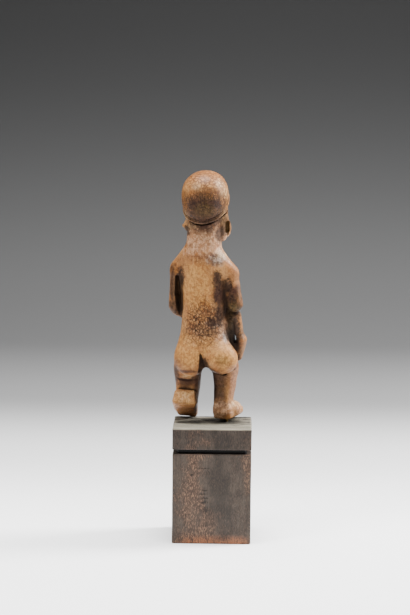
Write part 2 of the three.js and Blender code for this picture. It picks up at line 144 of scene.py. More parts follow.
RIGHT_FOOT = dict(
    heel=(-11.8, 5.6, 0), turn=-9, pitch=0, length=30, edge=2.2, blend=2,
    sole_half=5.9, top_half=5.7, toe_half=6.9, heel_height=9.5, toe_height=5.4,
    little_toe=-0.8,
)
ANKLE_BONE = dict(at=(-16.7, -5.6, 6.1), size=(6, 7.6, 4.9))
LEFT_FOOT = dict(
    heel=(11.8, 9.6, 10), turn=6, pitch=24.6, tilt=-3.8, length=31, edge=2.2, blend=0.8,
    sole_half=8.3, top_half=6.8, toe_half=7.4, heel_height=10.4, toe_height=5,
    little_toe=0.9,
)
BUTTOCKS = dict(
    right=dict(at=(-11.6, 6.2, 38.8), size=(10.3, 8.9, 9.4)),
    left=dict(at=(8.7, 5.4, 38.4), size=(10, 8.4, 11)),
    cleft=0.6, fold_blend=0.6, back_blend=4.5, fold_height=33, back_height=45, thigh_blend=1.4,
    middle=(-2, 3), gap=rod((1.2, 12, 43), (0.5, 7.5, 31), (0.3, 2.9), deep=1.3),
)
LEFT_ARM = dict(
    upper=rod((18, -1.5, 92.4), (19.8, -2, 72), (5.5, 4.7), deep=1.25),
    forearm=rod((18.6, -2.4, 69.6), (10.5, -13, 64.5), (4.2, 3.3)),
    hand=dict(at=(4, -13.2, 63.5), tilt=-8, turn=12, size=(7.5, 2.2, 4.2), edge=1.8),
    hollow=(
        rod((17.8, 6, 91), (17.4, 6, 80), (1.3, 2.1), deep=3.4),
        rod((17.4, 6, 80), (16.3, 6, 66.5), (2.1, 1.5), deep=3.4),
    ),
)
RIGHT_ARM = dict(
    upper=rod((-15.7, 0, 91.6), (-19.2, 1.3, 74.2), (5.3, 5.1)),
    forearm=rod((-18.4, -3.2, 66.4), (-20.2, -6, 54.5), (4, 3.5)),
    hand=rod((-21.7, -7.5, 50.2), (-20.2, -9, 39), (4, 2.5), deep=1.5),
    web=rod((-14.6, -3.6, 74), (-17.8, -6, 43), (3.6, 3.4)),
    slits=(
        rod((-12.8, 6.5, 79), (-15, 4.5, 61.5), (0.3, 1.1), deep=3.6),
        rod((-17.5, 2, 62), (-18.8, 0, 49), (1, 1.1), deep=3),
    ),
    hole=dict(at=(-18.6, -4, 51.4), size=(0.9, 14, 2.6), pitch=-6),
)

# How wide the fillets are where one part runs into the next.
BODY_BLENDS = dict(neck=5, between_legs=1, legs=2.5, gap=0.8, head=1)
LEFT_ARM_BLENDS = dict(palm=2, elbow=1.2, shoulder=2.5, hollow=0.6, hollow_edge=0.7)
RIGHT_ARM_BLENDS = dict(hand=2.5, web=1.5, shoulder=3, forearm=1, slit=0.8, hole=0.4)

# The head's own axes start at its middle and lean back with it. A feature with a mirror twin
# is given once, on the left.
HEAD = dict(at=(0.5, -1, 131), lean=12, turn=-4)
SKULL = dict(at=(0, 0.6, 7), size=(13.7, 15.4, 17))
FACE = dict(at=(0, -4.6, -6), size=(13.2, 11.6, 14.6))
JAW = dict(at=(0, -9.3, -15.2), size=(7.6, 7.2, 6.6))
BROW = rod((-8, -13.2, 1.8), (6.5, -12.8, 2.2), (1.8, 1.4))
SOCKET = dict(at=(5.4, -16.4, -2), size=(4.3, 2.6, 2.6))
EYE = dict(at=(5.3, -12.9, -2.2), size=(3.6, 2, 1.7))
NOSE = rod((0, -14.2, 0.8), (0, -16.6, -6), (1.4, 2.3))
NOSTRIL = dict(at=(2.4, -15.2, -6.9), size=(1.9, 2, 1.5))
UPPER_LIP = dict(at=(0, -14.8, -11.6), size=(4.9, 2.5, 1.4))
LOWER_LIP = dict(at=(0, -14.6, -14.2), size=(4.3, 2.6, 1.5))
# Each ear grows out of a broad mass behind it; the right one has a deep hollow in its back.
RIGHT_EAR = dict(
    root=rod((-10.6, 2, 3), (-10.2, 2.6, -13.4), (4.3, 3.4)),
    shell=dict(at=(-12.9, -0.8, -8.6), size=(2.9, 3.4, 6.2)),
    rim=rod((-15.2, 0.8, -4.2), (-14.4, 1.6, -12.4), (0.7, 0.7)),
    hollow=rod((-14.2, 3.6, -4.6), (-14.2, 3.6, -10), (1.3, 1.4), deep=2.4),
    front=dict(at=(-14.2, -4.6, -8), size=(1.8, 2.2, 4.2)),
)
LEFT_EAR = dict(
    root=rod((9, 2, 0), (9.2, 2.8, -9.6), (3.9, 2.8)),
    shell=dict(at=(11.9, 0.4, -7.2), size=(3, 3, 4.2)),
    rim=rod((14.6, 1.4, -7.2), (11.4, 2.4, -8.2), (1.2, 1)),
    hollow=rod((14, 4.2, -9.4), (12, 4.4, -11.8), (1.2, 0.9), deep=2.2),
    front=dict(at=(13.4, -2.8, -7.2), size=(1.4, 1.8, 2.4)),
)
EAR_BLENDS = dict(root=2.5, shell=1.2, rim=0.6, cut=0.5)
HEAD_BLENDS = dict(face=4, brow=1.8, socket=1.2, eye=0.25, nose=1.2, nostril=0.6, lip=0.35, cap=0.3)
CAP = dict(
    at=(0, 0.6, 12.2), size=(14.45, 16.9, 16), lower_height=19, squareness=2.3,
    edge_height=4.4, edge_slope=0.55, dome_end=3.5, end_blend=0.5, roll_blend=0.3,
    rolls=(
        dict(below=-2.9, half=0.45, raised=0.3, blend=0.35),
        dict(below=-1.4, half=0.9, raised=0.7, blend=0.6),
        dict(below=1.5, half=0.7, raised=0.3, blend=0.6),
        dict(below=0.2, half=1.2, raised=-0.7, blend=0.3),
    ),
)
CAP_UNDERCUT = dict(below=-0.1, half=0.4, deep=0.4, behind=(1, 5), blend=0.4, edge=0.4)

# The lattice cells of the fine carving, as (height, size): smallest at the face.
FIGURE_CELLS = ((-7, 0.62), (98, 0.64), (112, 0.5), (136, 0.5), (150, 0.6), (164, 0.6))
FIGURE_REACH = (34, 30)


# Fields: about how far a point lies outside a mass, in millimetres

def lerp(a, b, t):
    return a + (b - a) * t


def smooth_step(low, high, value):
    t = np.clip((value - low) / (high - low), 0, 1)
    return t * t * (3 - 2 * t)


def join(a, b, k):
    """Soft union of two fields; k is the width of the fillet."""
    h = np.clip(0.5 + 0.5 * (b - a) / k, 0, 1)
    return lerp(b, a, h) - k * h * (1 - h)


def overlap(a, b, k):
    return -join(-a, -b, k)


def cut(a, b, k):
    return overlap(a, -b, k)


def length(*parts):
    return np.sqrt(sum(part * part for part in parts))


def ellipsoid(p, at, size):
    q = [(p[i] - at[i]) / size[i] for i in range(3)]
    near = length(*q)
    steep = length(*(q[i] / size[i] for i in range(3)))
    return near * (near - 1) / np.maximum(steep, 1e-6)


def limb(p, start, end, radii, deep=1):
    """A round limb that tapers between two points; deep stretches its section along y."""
    scale = (1, deep, 1)
    a = [(p[i] - start[i]) / scale[i] for i in range(3)]
    b = [(end[i] - start[i]) / scale[i] for i in range(3)]
    t = np.clip(sum(a[i] * b[i] for i in range(3)) / sum(v * v for v in b), 0, 1)
    return length(*(a[i] - b[i] * t for i in range(3))) - lerp(radii[0], radii[1], t)


def rounded_box(q, half, edge):
    d = [np.abs(q[i]) - (half[i] - edge) for i in range(3)]
    outside = length(*(np.maximum(v, 0) for v in d))
    return outside + np.minimum(np.maximum(np.maximum(d[0], d[1]), d[2]), 0) - edge


def seen_from(p, at, pitch=0, tilt=0, turn=0):
    """Points seen from a part that stands at "at", turned about x, then y, then z."""
    def rotate(u, v, angle):
        c, s = cos(radians(angle)), sin(radians(angle))
        return u * c + v * s, v * c - u * s

    x, y, z = (p[i] - at[i] for i in range(3))
    x, y = rotate(x, y, turn)
    z, x = rotate(z, x, tilt)
    y, z = rotate(y, z, pitch)
    return x, y, z


def between(rows, column, z):
    """Smooth values between the rows of a section list, by cubic Hermite pieces."""
    heights, values = (np.array([row[i] for row in rows], float) for i in (0, column))
    here = np.arange(len(rows))
    before, after = np.maximum(here - 1, 0), np.minimum(here + 1, here[-1])
    slopes = (values[after] - values[before]) / (heights[after] - heights[before])
    at = np.clip(z, heights[0], heights[-1])
    i = np.clip(np.searchsorted(heights, at, side="right") - 1, 0, len(rows) - 2)
    step = heights[i + 1] - heights[i]
    t = (at - heights[i]) / step
    rise = t * t * (3 - 2 * t)
    swing = step * t * (1 - t) * ((1 - t) * slopes[i] - t * slopes[i + 1])
    return (lerp(values[i], values[i + 1], rise) + swing).astype(np.float32)


def sectioned(p, sections, squareness, end, turn=0, **_):
    """A mass through level sections, each a rounded square."""
    w, d, cx, cy = (between(sections, column, p[2]) for column in (1, 2, 3, 4))
    x, y, _ = seen_from((p[0] - cx, p[1] - cy, p[2]), (0, 0, 0), turn=turn)
    n = (np.abs(x / w) ** squareness + np.abs(y / d) ** squareness) ** (1 / squareness)
    ends = np.maximum(sections[0][0] - p[2], p[2] - sections[-1][0])
    return overlap((n - 1) * np.minimum(w, d), ends, end)


def foot_axes(p, heel, pitch, turn, tilt=0, **_):
    return seen_from(p, heel, pitch=pitch, tilt=tilt, turn=turn)


def foot(p, f):
    """A block that narrows upwards, thins towards the toes and draws in at the little one."""
    x, y, z = foot_axes(p, **f)
    along = np.clip(-y / f["length"], 0, 1)
    drawn_in = f["little_toe"] * smooth_step(0.5, 1.1, along)
    heel_half = lerp(f["sole_half"], f["top_half"], np.clip(z / f["heel_height"], 0, 1))
    half_width = lerp(heel_half, f["toe_half"], along) - np.abs(drawn_in)
    half_height = lerp(f["heel_height"], f["toe_height"], along ** 0.8) / 2
    middle = (x + drawn_in, y + f["length"] / 2, z - half_height)
    return rounded_box(middle, (half_width, f["length"] / 2, half_height), f["edge"])


def cap_dome(q):
    at, size, e = CAP["at"], CAP["size"], CAP["squareness"]
    height = np.where(q[2] > at[2], size[2], CAP["lower_height"])
    reach = (size[0], size[1], height)
    n = sum(np.abs((q[i] - at[i]) / reach[i]) ** e for i in range(3)) ** (1 / e)
    return (n - 1) * min(size)


def below_cap_edge(q):
    slope = CAP["edge_slope"]
    return (CAP["edge_height"] - slope * q[1] - q[2]) / hypot(1, slope)


def cap(q):
    """The cap's dome ends at a sloping edge, with rolls above and below it."""
    dome, below = cap_dome(q), below_cap_edge(q)
    d = overlap(dome, below + CAP["dome_end"], CAP["end_blend"])
    for roll in CAP["rolls"]:
        strip = np.abs(below - roll["below"]) - roll["half"]
        d = join(d, overlap(dome - roll["raised"], strip, roll["blend"]), CAP["roll_blend"])
    return d


def cap_undercut(q):
    """The narrow groove under the cap's rolls; it fades out beside the ears."""
    u = CAP_UNDERCUT
    shallow = u["deep"] * smooth_step(*u["behind"], q[1])
    strip = np.abs(below_cap_edge(q) - u["below"]) - u["half"]
    return overlap(strip, -(cap_dome(q) + shallow), u["blend"])


def with_ear(q, d, ear):
    k = EAR_BLENDS
    d = join(d, limb(q, **ear["root"]), k["root"])
    d = join(d, ellipsoid(q, **ear["shell"]), k["shell"])
    d = join(d, limb(q, **ear["rim"]), k["rim"])
    return cut(cut(d, limb(q, **ear["hollow"]), k["cut"]), ellipsoid(q, **ear["front"]), k["cut"])


def head_axes(p):
    return seen_from(p, HEAD["at"], pitch=-HEAD["lean"], turn=HEAD["turn"])


def head(p):
    q, k = head_axes(p), HEAD_BLENDS
    mirrored = (np.abs(q[0]), q[1], q[2])
    d = join(ellipsoid(q, **SKULL), ellipsoid(q, **FACE), k["face"])
    d = join(d, ellipsoid(q, **JAW), k["face"])
    d = join(d, limb(mirrored, **BROW), k["brow"])
    d = cut(d, ellipsoid(mirrored, **SOCKET), k["socket"])
    d = join(d, ellipsoid(mirrored, **EYE), k["eye"])
    d = join(d, limb(q, **NOSE), k["nose"])
    d = join(d, ellipsoid(mirrored, **NOSTRIL), k["nostril"])
    d = join(d, ellipsoid(q, **UPPER_LIP), k["lip"])
    d = join(d, ellipsoid(q, **LOWER_LIP), k["lip"])
    d = with_ear(q, with_ear(q, d, RIGHT_EAR), LEFT_EAR)
    return join(d, cap(q), k["cap"])


def torso(p):
    body = join(sectioned(p, **TRUNK), ellipsoid(p, **TRUNK["belly"]), TRUNK["blend"])
    left, right = limb(p, **SHOULDERS["left"]), limb(p, **SHOULDERS["right"])
    body = join(body, limb(p, **NECK), BODY_BLENDS["neck"])
    return join(body, join(left, right, SHOULDERS["blend"]), SHOULDERS["blend"])


def legs(p):
    right_foot = join(foot(p, RIGHT_FOOT), ellipsoid(p, **ANKLE_BONE), RIGHT_FOOT["blend"])
    right = join(sectioned(p, **RIGHT_LEG), right_foot, RIGHT_FOOT["blend"])
    left = join(sectioned(p, **LEFT_LEG), foot(p, LEFT_FOOT), LEFT_FOOT["blend"])
    return join(right, left, BODY_BLENDS["between_legs"])


def with_buttocks(p, d):
    """The fillet is wide where they run into the back and tight in the fold under the right one."""
    b = BUTTOCKS
    high = smooth_step(b["fold_height"], b["back_height"], p[2])
    left_side = smooth_step(*b["middle"], p[0])
    fillet = lerp(b["fold_blend"] + b["thigh_blend"] * left_side, b["back_blend"], high)
    d = join(d, join(ellipsoid(p, **b["right"]), ellipsoid(p, **b["left"]), b["cleft"]), fillet)
    return cut(d, limb(p, **b["gap"]), BODY_BLENDS["gap"])


def left_hand_axes(p):
    hand = LEFT_ARM["hand"]
    return seen_from(p, hand["at"], tilt=hand["tilt"], turn=hand["turn"])


def with_left_arm(p, d):
    arm, k = LEFT_ARM, LEFT_ARM_BLENDS
    palm = rounded_box(left_hand_axes(p), arm["hand"]["size"], arm["hand"]["edge"])
    lower = join(limb(p, **arm["forearm"]), palm, k["palm"])
    d = join(d, join(limb(p, **arm["upper"]), lower, k["elbow"]), k["shoulder"])
    upper_hollow, lower_hollow = (limb(p, **part) for part in arm["hollow"])
    return cut(d, join(upper_hollow, lower_hollow, k["hollow"]), k["hollow_edge"])


def with_right_arm(p, d):
    arm, k = RIGHT_ARM, RIGHT_ARM_BLENDS
    lower = join(limb(p, **arm["forearm"]), limb(p, **arm["hand"]), k["hand"])
    lower = join(lower, limb(p, **arm["web"]), k["web"])
    d = join(join(d, limb(p, **arm["upper"]), k["shoulder"]), lower, k["forearm"])
    for slit in arm["slits"]:
        d = cut(d, limb(p, **slit), k["slit"])
    hole = seen_from(p, arm["hole"]["at"], pitch=arm["hole"]["pitch"])
    return cut(d, ellipsoid(hole, (0, 0, 0), arm["hole"]["size"]), k["hole"])


# Knife work that only the fine carving shows

FINGER_CUT = dict(radius=0.42, blend=0.35, left=(-0.5, 0, 0.5), right=(-2.2, 0, 2.2), outside=-3.7)
TOE_CUT = dict(radius=0.5, blend=0.4, places=(-0.62, -0.24, 0.14, 0.5))
SCORED_BLEND = 0.4
FOLD = dict(radius=0.6, deep=1.5, points=((-5.2, 2.8, 30.6), (-12.5, 5.2, 28.9), (-20.2, 3.2, 33.0)))
ANKLE_LINE = dict(radius=0.4, deep=2.5, points=((-15.6, 0.2, 8.0), (-17.2, 0, 9.2), (-18.8, -0.4, 7.4)))
KNEE_LINE = dict(radius=0.4, deep=2, points=((5.5, 4.2, 24.8), (11.0, 5.2, 24.2), (17.0, 3.4, 25.0)))
KNOT = dict(at=(11.0, 3.9, 27.2), size=(4.6, 2.6, 2.4))
KNOT_BLEND = 0.3
NAVEL = dict(at=(-0.2, -13.6, 52.5), size=(2.0, 1.6, 2.2))
NAVEL_BLEND = 0.8


def finger_cuts(p, d):
    q = left_hand_axes(p)
    half_length, half_thick, half_height = LEFT_ARM["hand"]["size"]
    r = (FINGER_CUT["radius"],) * 2
    for finger in FINGER_CUT["left"]:
        z = finger * half_height
        tip = (-half_length - 1, -half_thick, z)
        root = (half_length * 0.1, -half_thick - 0.1, z * 0.9)
        d = cut(d, limb(q, tip, root, r), FINGER_CUT["blend"])
    palm, tips = RIGHT_ARM["hand"]["start"], RIGHT_ARM["hand"]["end"]
    outside = FINGER_CUT["outside"]
    for finger in FINGER_CUT["right"]:
        root = (palm[0] + outside, palm[1] + finger * 1.2, palm[2] - 4.5)
        tip = (tips[0] + outside * 0.6, tips[1] + finger * 0.8, tips[2] - 3)
        d = cut(d, limb(p, root, tip, r), FINGER_CUT["blend"])
    return d


def toe_cuts(p, d):
    r = (TOE_CUT["radius"], TOE_CUT["radius"] * 0.7)
    for f in (RIGHT_FOOT, LEFT_FOOT):
        q = foot_axes(p, **f)
        for toe in TOE_CUT["places"]:
            x = toe * f["toe_half"] * (-1 if f is LEFT_FOOT else 1)
            tip = (x, -f["length"] - 0.2, f["toe_height"] * 0.35)
            bend = (x * 0.97, -f["length"] + 0.9, f["toe_height"] - 0.2)
            root = (x * 0.85, -f["length"] + 6, f["toe_height"] + 0.9)
            for start, end in ((tip, bend), (bend, root)):
                d = cut(d, limb(q, start, end, r), TOE_CUT["blend"])
    return d


def scored_lines(p):
    """The narrow cuts of a knife's tip, each through three points and widest at the middle one."""
    cuts = []
    for line in (FOLD, ANKLE_LINE, KNEE_LINE):
        points, widths = line["points"], ((0.3, 1), (1, 0.3))
        for start, end, ends in zip(points, points[1:], widths):
            radii = [line["radius"] * share for share in ends]
            cuts.append(limb(p, start, end, radii, line["deep"]))
    return np.minimum.reduce(cuts)


def carving(p):
    d = with_buttocks(p, join(torso(p), legs(p), BODY_BLENDS["legs"]))
    d = with_left_arm(p, with_right_arm(p, d))
    d = join(d, head(p), BODY_BLENDS["head"])
    d = join(d, ellipsoid(p, **NAVEL), NAVEL_BLEND)
    d = toe_cuts(p, finger_cuts(p, d))
    d = cut(d, cap_undercut(head_axes(p)), CAP_UNDERCUT["edge"])
    d = join(d, ellipsoid(p, **KNOT), KNOT_BLEND)
    return cut(d, scored_lines(p), SCORED_BLEND)


# The surface of a field

CORNERS = np.array([[c & 1, c >> 1 & 1, c >> 2] for c in range(8)])
EDGES = [(c, c | bit) for c in range(8) for bit in (1, 2, 4) if not c & bit]
COARSE = 4


def hangs_together(mask):
    """Whether the corners in a mask hang together along the cell's edges."""
    reached = mask & -mask
    for _ in range(8):
        for a, b in EDGES:
            pair = 1 << a | 1 << b
            if reached & pair and mask & pair == pair:
                reached |= pair
    return reached == mask


WHOLE = np.array([hangs_together(m) and hangs_together(255 ^ m) for m in range(256)])


def in_chunks(field, points, size=400_000):
    out = np.empty(points.shape[1], np.float32)
    for first in range(0, points.shape[1], size):
        out[first:first + size] = field(tuple(points[:, first:first + size]))
    return out


def slope_of(field, points, h=0.05):
    steps = np.eye(3, dtype=np.float32) * h
    return np.stack([
        (in_chunks(field, points + step[:, None]) - in_chunks(field, points - step[:, None])) / (2 * h)
        for step in steps
    ])


def surface_of(field, cells, reach):
    """Surface nets on a graded lattice: vertices (3, n) in millimetres and faces (m, 4)."""
    heights = [cells[0][0]]
    sizes = []
    while heights[-1] < cells[-1][0] or len(sizes) % COARSE:
        sizes.append(float(between(cells, 1, np.array([heights[-1]]))[0]))
        heights.append(heights[-1] + sizes[-1])
    sizes.append(sizes[-1])
    z, cell = np.array(heights, np.float32), np.array(sizes, np.float32)
    nx, ny = (2 * COARSE * int(np.ceil(r / min(sizes) / COARSE)) + 1 for r in reach)
    nz = len(z)

    def place(i, j, k):
        x, y = (i - (nx - 1) / 2) * cell[k], (j - (ny - 1) / 2) * cell[k]
        return np.stack([x, y, z[k]]).astype(np.float32)

    # A coarse look first; only lattice blocks near the surface are worked out in full.
    rough_nodes = np.meshgrid(*(np.arange(0, n, COARSE) for n in (nx, ny, nz)), indexing="ij")
    rough = in_chunks(field, place(*(g.ravel() for g in rough_nodes))).reshape(rough_nodes[0].shape)
    near = np.abs(rough) < 5.5 * cell[::COARSE]
    block = np.zeros([n - 1 for n in rough.shape], bool)
    for a, b, c in CORNERS:
        block |= near[a:a + block.shape[0], b:b + block.shape[1], c:c + block.shape[2]]
    block = block.repeat(COARSE, 0).repeat(COARSE, 1).repeat(COARSE, 2)
    wanted = np.zeros((nx, ny, nz), bool)
    for a, b, c in CORNERS:
        wanted[a:nx - 1 + a, b:ny - 1 + b, c:nz - 1 + c] |= block
    values = rough.repeat(COARSE, 0).repeat(COARSE, 1).repeat(COARSE, 2)[:nx, :ny, :nz].copy()
    nodes = np.nonzero(wanted)
    values[nodes] = in_chunks(field, place(*nodes))

    def cell_codes():
        codes = np.zeros((nx - 1, ny - 1, nz - 1), np.uint8)
        for n, (a, b, c) in enumerate(CORNERS):
            codes |= (values[a:nx - 1 + a, b:ny - 1 + b, c:nz - 1 + c] < 0).astype(np.uint8) << n
        return codes

    # Two sheets in one cell would share a vertex, so there the nearest corner changes sides.
    codes = cell_codes()
    while True:
        tangled = np.argwhere(~WHOLE[codes])
        if not len(tangled):
            break
        corner = tangled[:, None, :] + CORNERS[None]
        v = values[corner[..., 0], corner[..., 1], corner[..., 2]]
        chosen = corner[np.arange(len(corner)), np.abs(v).argmin(1)]
        chosen = tuple(np.unique(chosen, axis=0).T)
        values[chosen] = -np.sign(values[chosen]) * (np.abs(values[chosen]) + 0.02)
        codes = cell_codes()

    crossed = np.nonzero((codes > 0) & (codes < 255))
    at = [np.stack(crossed) + corner[:, None] for corner in CORNERS]
    v = [values[tuple(a)] for a in at]
    spots = [place(*a) for a in at]
    total, count = np.zeros((3, len(crossed[0])), np.float32), np.zeros(len(crossed[0]), np.float32)
    for a, b in EDGES:
        crosses = (v[a] < 0) != (v[b] < 0)
        t = np.where(crosses, v[a] / np.where(crosses, v[a] - v[b], 1), 0)
        total += np.where(crosses, lerp(spots[a], spots[b], t), 0)
        count += crosses
    vertices = onto_surface(field, total / count, 0.35 * cell[crossed[2]])

    vertex_of = np.full(codes.shape, -1, np.int64)
    vertex_of[crossed] = np.arange(len(crossed[0]))
    inside = values < 0
    faces = []
    step, shape = np.eye(3, dtype=int), codes.shape
    for axis in range(3):
        u, w = (axis + 1) % 3, (axis + 2) % 3
        start = np.argwhere(pair_differs(inside, axis))
        for side in (u, w):
            start = start[(start[:, side] > 0) & (start[:, side] < shape[side])]
        ring = [start - step[u] - step[w], start - step[w], start, start - step[u]]
        quad = np.stack([vertex_of[tuple(r.T)] for r in ring], 1)
        outward = inside[tuple(start.T)]
        quad[~outward] = quad[~outward][:, ::-1]
        faces.append(quad)
    return vertices, np.concatenate(faces)


def pair_differs(inside, axis):
    """Whether each lattice point and the next one along an axis lie on two sides."""
    low, high = [slice(None)] * 3, [slice(None)] * 3
    low[axis], high[axis] = slice(None, -1), slice(1, None)
    return inside[tuple(low)] != inside[tuple(high)]


def onto_surface(field, start, reach):
    """Slides points along the field's slope to its zero, no further than reach."""
    p = start.copy()
    for _ in range(2):
        slope = slope_of(field, p)
        steep = np.maximum((slope ** 2).sum(0), 0.05)
        p = p - in_chunks(field, p) * slope / steep
    moved = p - start
    far = np.maximum(length(*moved), 1e-9)
    return start + moved * np.minimum(1, reach / far)


# Meshes

def new_piece(name, vertices, faces, values=None):
    """A mesh object at the origin. vertices are (n, 3) in metres, values named point floats."""
    mesh = bpy.data.meshes.new(name)
    mesh.from_pydata(np.asarray(vertices).tolist(), [], list(faces))
    for key, numbers in (values or {}).items():
        attribute = mesh.attributes.new(key, "FLOAT", "POINT")
        attribute.data.foreach_set("value", np.asarray(numbers, np.float32))
    mesh.validate()
    mesh.update()
    piece = bpy.data.objects.new(name, mesh)
    bpy.context.scene.collection.objects.link(piece)
    return piece


def smooth(piece):
    piece.data.shade_smooth()


def into_frame(vertices):
    """The figure's own axes into the frame's, in metres."""
    turn = radians(STANCE["turn"])
    x, y, z = vertices
    return np.stack([
        x * cos(turn) - y * sin(turn) + STANCE["at"][0],
        x * sin(turn) + y * cos(turn) + STANCE["at"][1],
        z + SOLE,
    ], 1) * MM


def make_figure():
    vertices, faces = surface_of(carving, FIGURE_CELLS, FIGURE_REACH)
    slope = slope_of(carving, vertices)
    normal = slope / np.maximum(length(*slope), 1e-6)
    thickness = np.clip(-in_chunks(carving, vertices - normal * 1.6) / 1.6, 0, 1)
    scored = 1 - smooth_step(0.1, 1.1, in_chunks(scored_lines, vertices))
    crevice = 1 - openness(vertices, normal)
    values = dict(crevice=crevice, ridge=1 - thickness, leftward=normal[0], scored=scored)
    return new_piece("carved_figure", into_frame(vertices), faces.tolist(), values)


def openness(points, normal):
    """How much of what lies over each point is open: 1 out in the open, 0 deep in a hollow."""
    side = np.stack([normal[1], -normal[0], np.zeros_like(normal[0])])
    side /= np.maximum(length(*side), 1e-3)
    other = np.cross(normal.T, side.T).T
    lean = radians(58)
    ways = [normal] + [normal * cos(lean) + (side * cos(a) + other * sin(a)) * sin(lean)
                       for a in np.arange(6) * pi / 3]
    total = 0
    for way in ways:
        free = np.ones(points.shape[1], np.float32)
        for reach in (0.9, 2.2, 5.0, 10.0):
            free = np.minimum(free, in_chunks(carving, points + way * reach) / (0.45 * reach))
        total = total + np.clip(free, 0, 1)
    return total / len(ways)


def post_rings(rows, step):
    """Rows of (height, half side) with extra rows no further apart than step."""
    out = [rows[0]]
    for (z0, h0), (z1, h1) in zip(rows, rows[1:]):
        n = max(1, int(np.ceil(hypot(z1 - z0, h1 - h0) / step)))
        out += [(lerp(z0, z1, i / n), lerp(h0, h1, i / n)) for i in range(1, n + 1)]
    return out


def make_plinth():
    """The block as rings of a square post, closed by rings that shrink to the middle."""
    half, slab = BLOCK_SIDE / 2, SLAB_SIDE / 2
    core = half - GROOVE_DEPTH
    groove_top = PLINTH_HEIGHT - SLAB_HEIGHT
    groove_bottom = groove_top - GROOVE_HEIGHT
    wall = post_rings([
        (0, half - EDGE_WEAR), (EDGE_WEAR * 0.3, half - EDGE_WEAR * 0.3), (EDGE_WEAR, half),
        (groove_bottom - 0.35, half), (groove_bottom - 0.1, half - 0.1), (groove_bottom, half - 0.35),
        (groove_bottom + 0.15, core), (groove_top - 0.15, core),
        (groove_top, slab - 0.35), (groove_top + 0.1, slab - 0.1), (groove_top + 0.35, slab),
        (PLINTH_HEIGHT - EDGE_WEAR, slab), (PLINTH_HEIGHT - EDGE_WEAR * 0.3, slab - EDGE_WEAR * 0.3),
        (PLINTH_HEIGHT, slab - EDGE_WEAR),
    ], 0.8)
    inward = np.linspace(1, 0, 30)[1:-1]
    rows = [(0, wall[0][1] * t) for t in inward[::-1]] + wall
    rows += [(PLINTH_HEIGHT, wall[-1][1] * t) for t in inward]
    corner_steps, side_steps = 4, 54
    points = []
    for z, h in rows:
        r = min(CORNER_RADIUS, h * 0.5)
        straight = h - r
        for corner in range(4):
            c, s = round(cos(corner * pi / 2)), round(sin(corner * pi / 2))
            outline = [(h, lerp(-straight, straight, i / side_steps)) for i in range(side_steps)]
            outline += [(straight + r * cos(a), straight + r * sin(a))
                        for a in np.linspace(0, pi / 2, corner_steps + 1)[:-1]]
            points += [((x * c - y * s) * MM, (x * s + y * c) * MM, z * MM) for x, y in outline]
    ring = 4 * (side_steps + corner_steps)
    faces = []
    for row in range(len(rows) - 1):
        for i in range(ring):
            j = (i + 1) % ring
            faces.append((row * ring + i, row * ring + j, (row + 1) * ring + j, (row + 1) * ring + i))
    bottom, top = len(points), len(points) + 1
    points += [(0, 0, 0), (0, 0, PLINTH_HEIGHT * MM)]
    last = (len(rows) - 1) * ring
    faces += [(bottom, (i + 1) % ring, i) for i in range(ring)]
    faces += [(top, last + i, last + (i + 1) % ring) for i in range(ring)]
    return new_piece("stained_plinth", points, faces)


# Node trees: what a material and a relief share

def math_step(operation, swapped=False):
    """A method of Amount that adds one Math node."""
    def combine(self, other):
        pair = (other, self) if swapped else (self, other)
        return self.nodes.add("ShaderNodeMath", {"operation": operation}, dict(enumerate(pair)))
    return combine


class Amount:
    """A value that changes over a surface; sums and products add Math nodes to its tree."""

    def __init__(self, nodes, socket):
        self.nodes, self.socket = nodes, socket

    __add__ = math_step("ADD")
    __radd__ = math_step("ADD", swapped=True)
    __sub__ = math_step("SUBTRACT")
    __rsub__ = math_step("SUBTRACT", swapped=True)
    __mul__ = math_step("MULTIPLY")
    __rmul__ = math_step("MULTIPLY", swapped=True)
    __rtruediv__ = math_step("DIVIDE", swapped=True)
    most = math_step("MAXIMUM")
    least = math_step("MINIMUM")


class Nodes:
    """A node tree and the calls that add nodes to it."""

    def __init__(self, tree):
        self.tree = tree

    def put(self, socket, value):
        if isinstance(value, Amount):
            self.tree.links.new(value.socket, socket)
        else:
            socket.default_value = value

    def node(self, kind, settings=None, sockets=None):
        """A new node with its settings, and then the values or links of its sockets."""
        node = self.tree.nodes.new(kind)
        for key, value in (settings or {}).items():
            setattr(node, key, value)
        for key, value in (sockets or {}).items():
            self.put(node.inputs[key], value)
        return node

    def add(self, kind, settings=None, sockets=None, output=0):
        return Amount(self, self.node(kind, settings, sockets).outputs[output])

    def vector(self, operation, *values, output=0):
        return self.add("ShaderNodeVectorMath", {"operation": operation}, dict(enumerate(values)), output)

    def axis(self, place, name):
        return self.add("ShaderNodeSeparateXYZ", sockets={0: place}, output=name)


# Relief that follows a surface

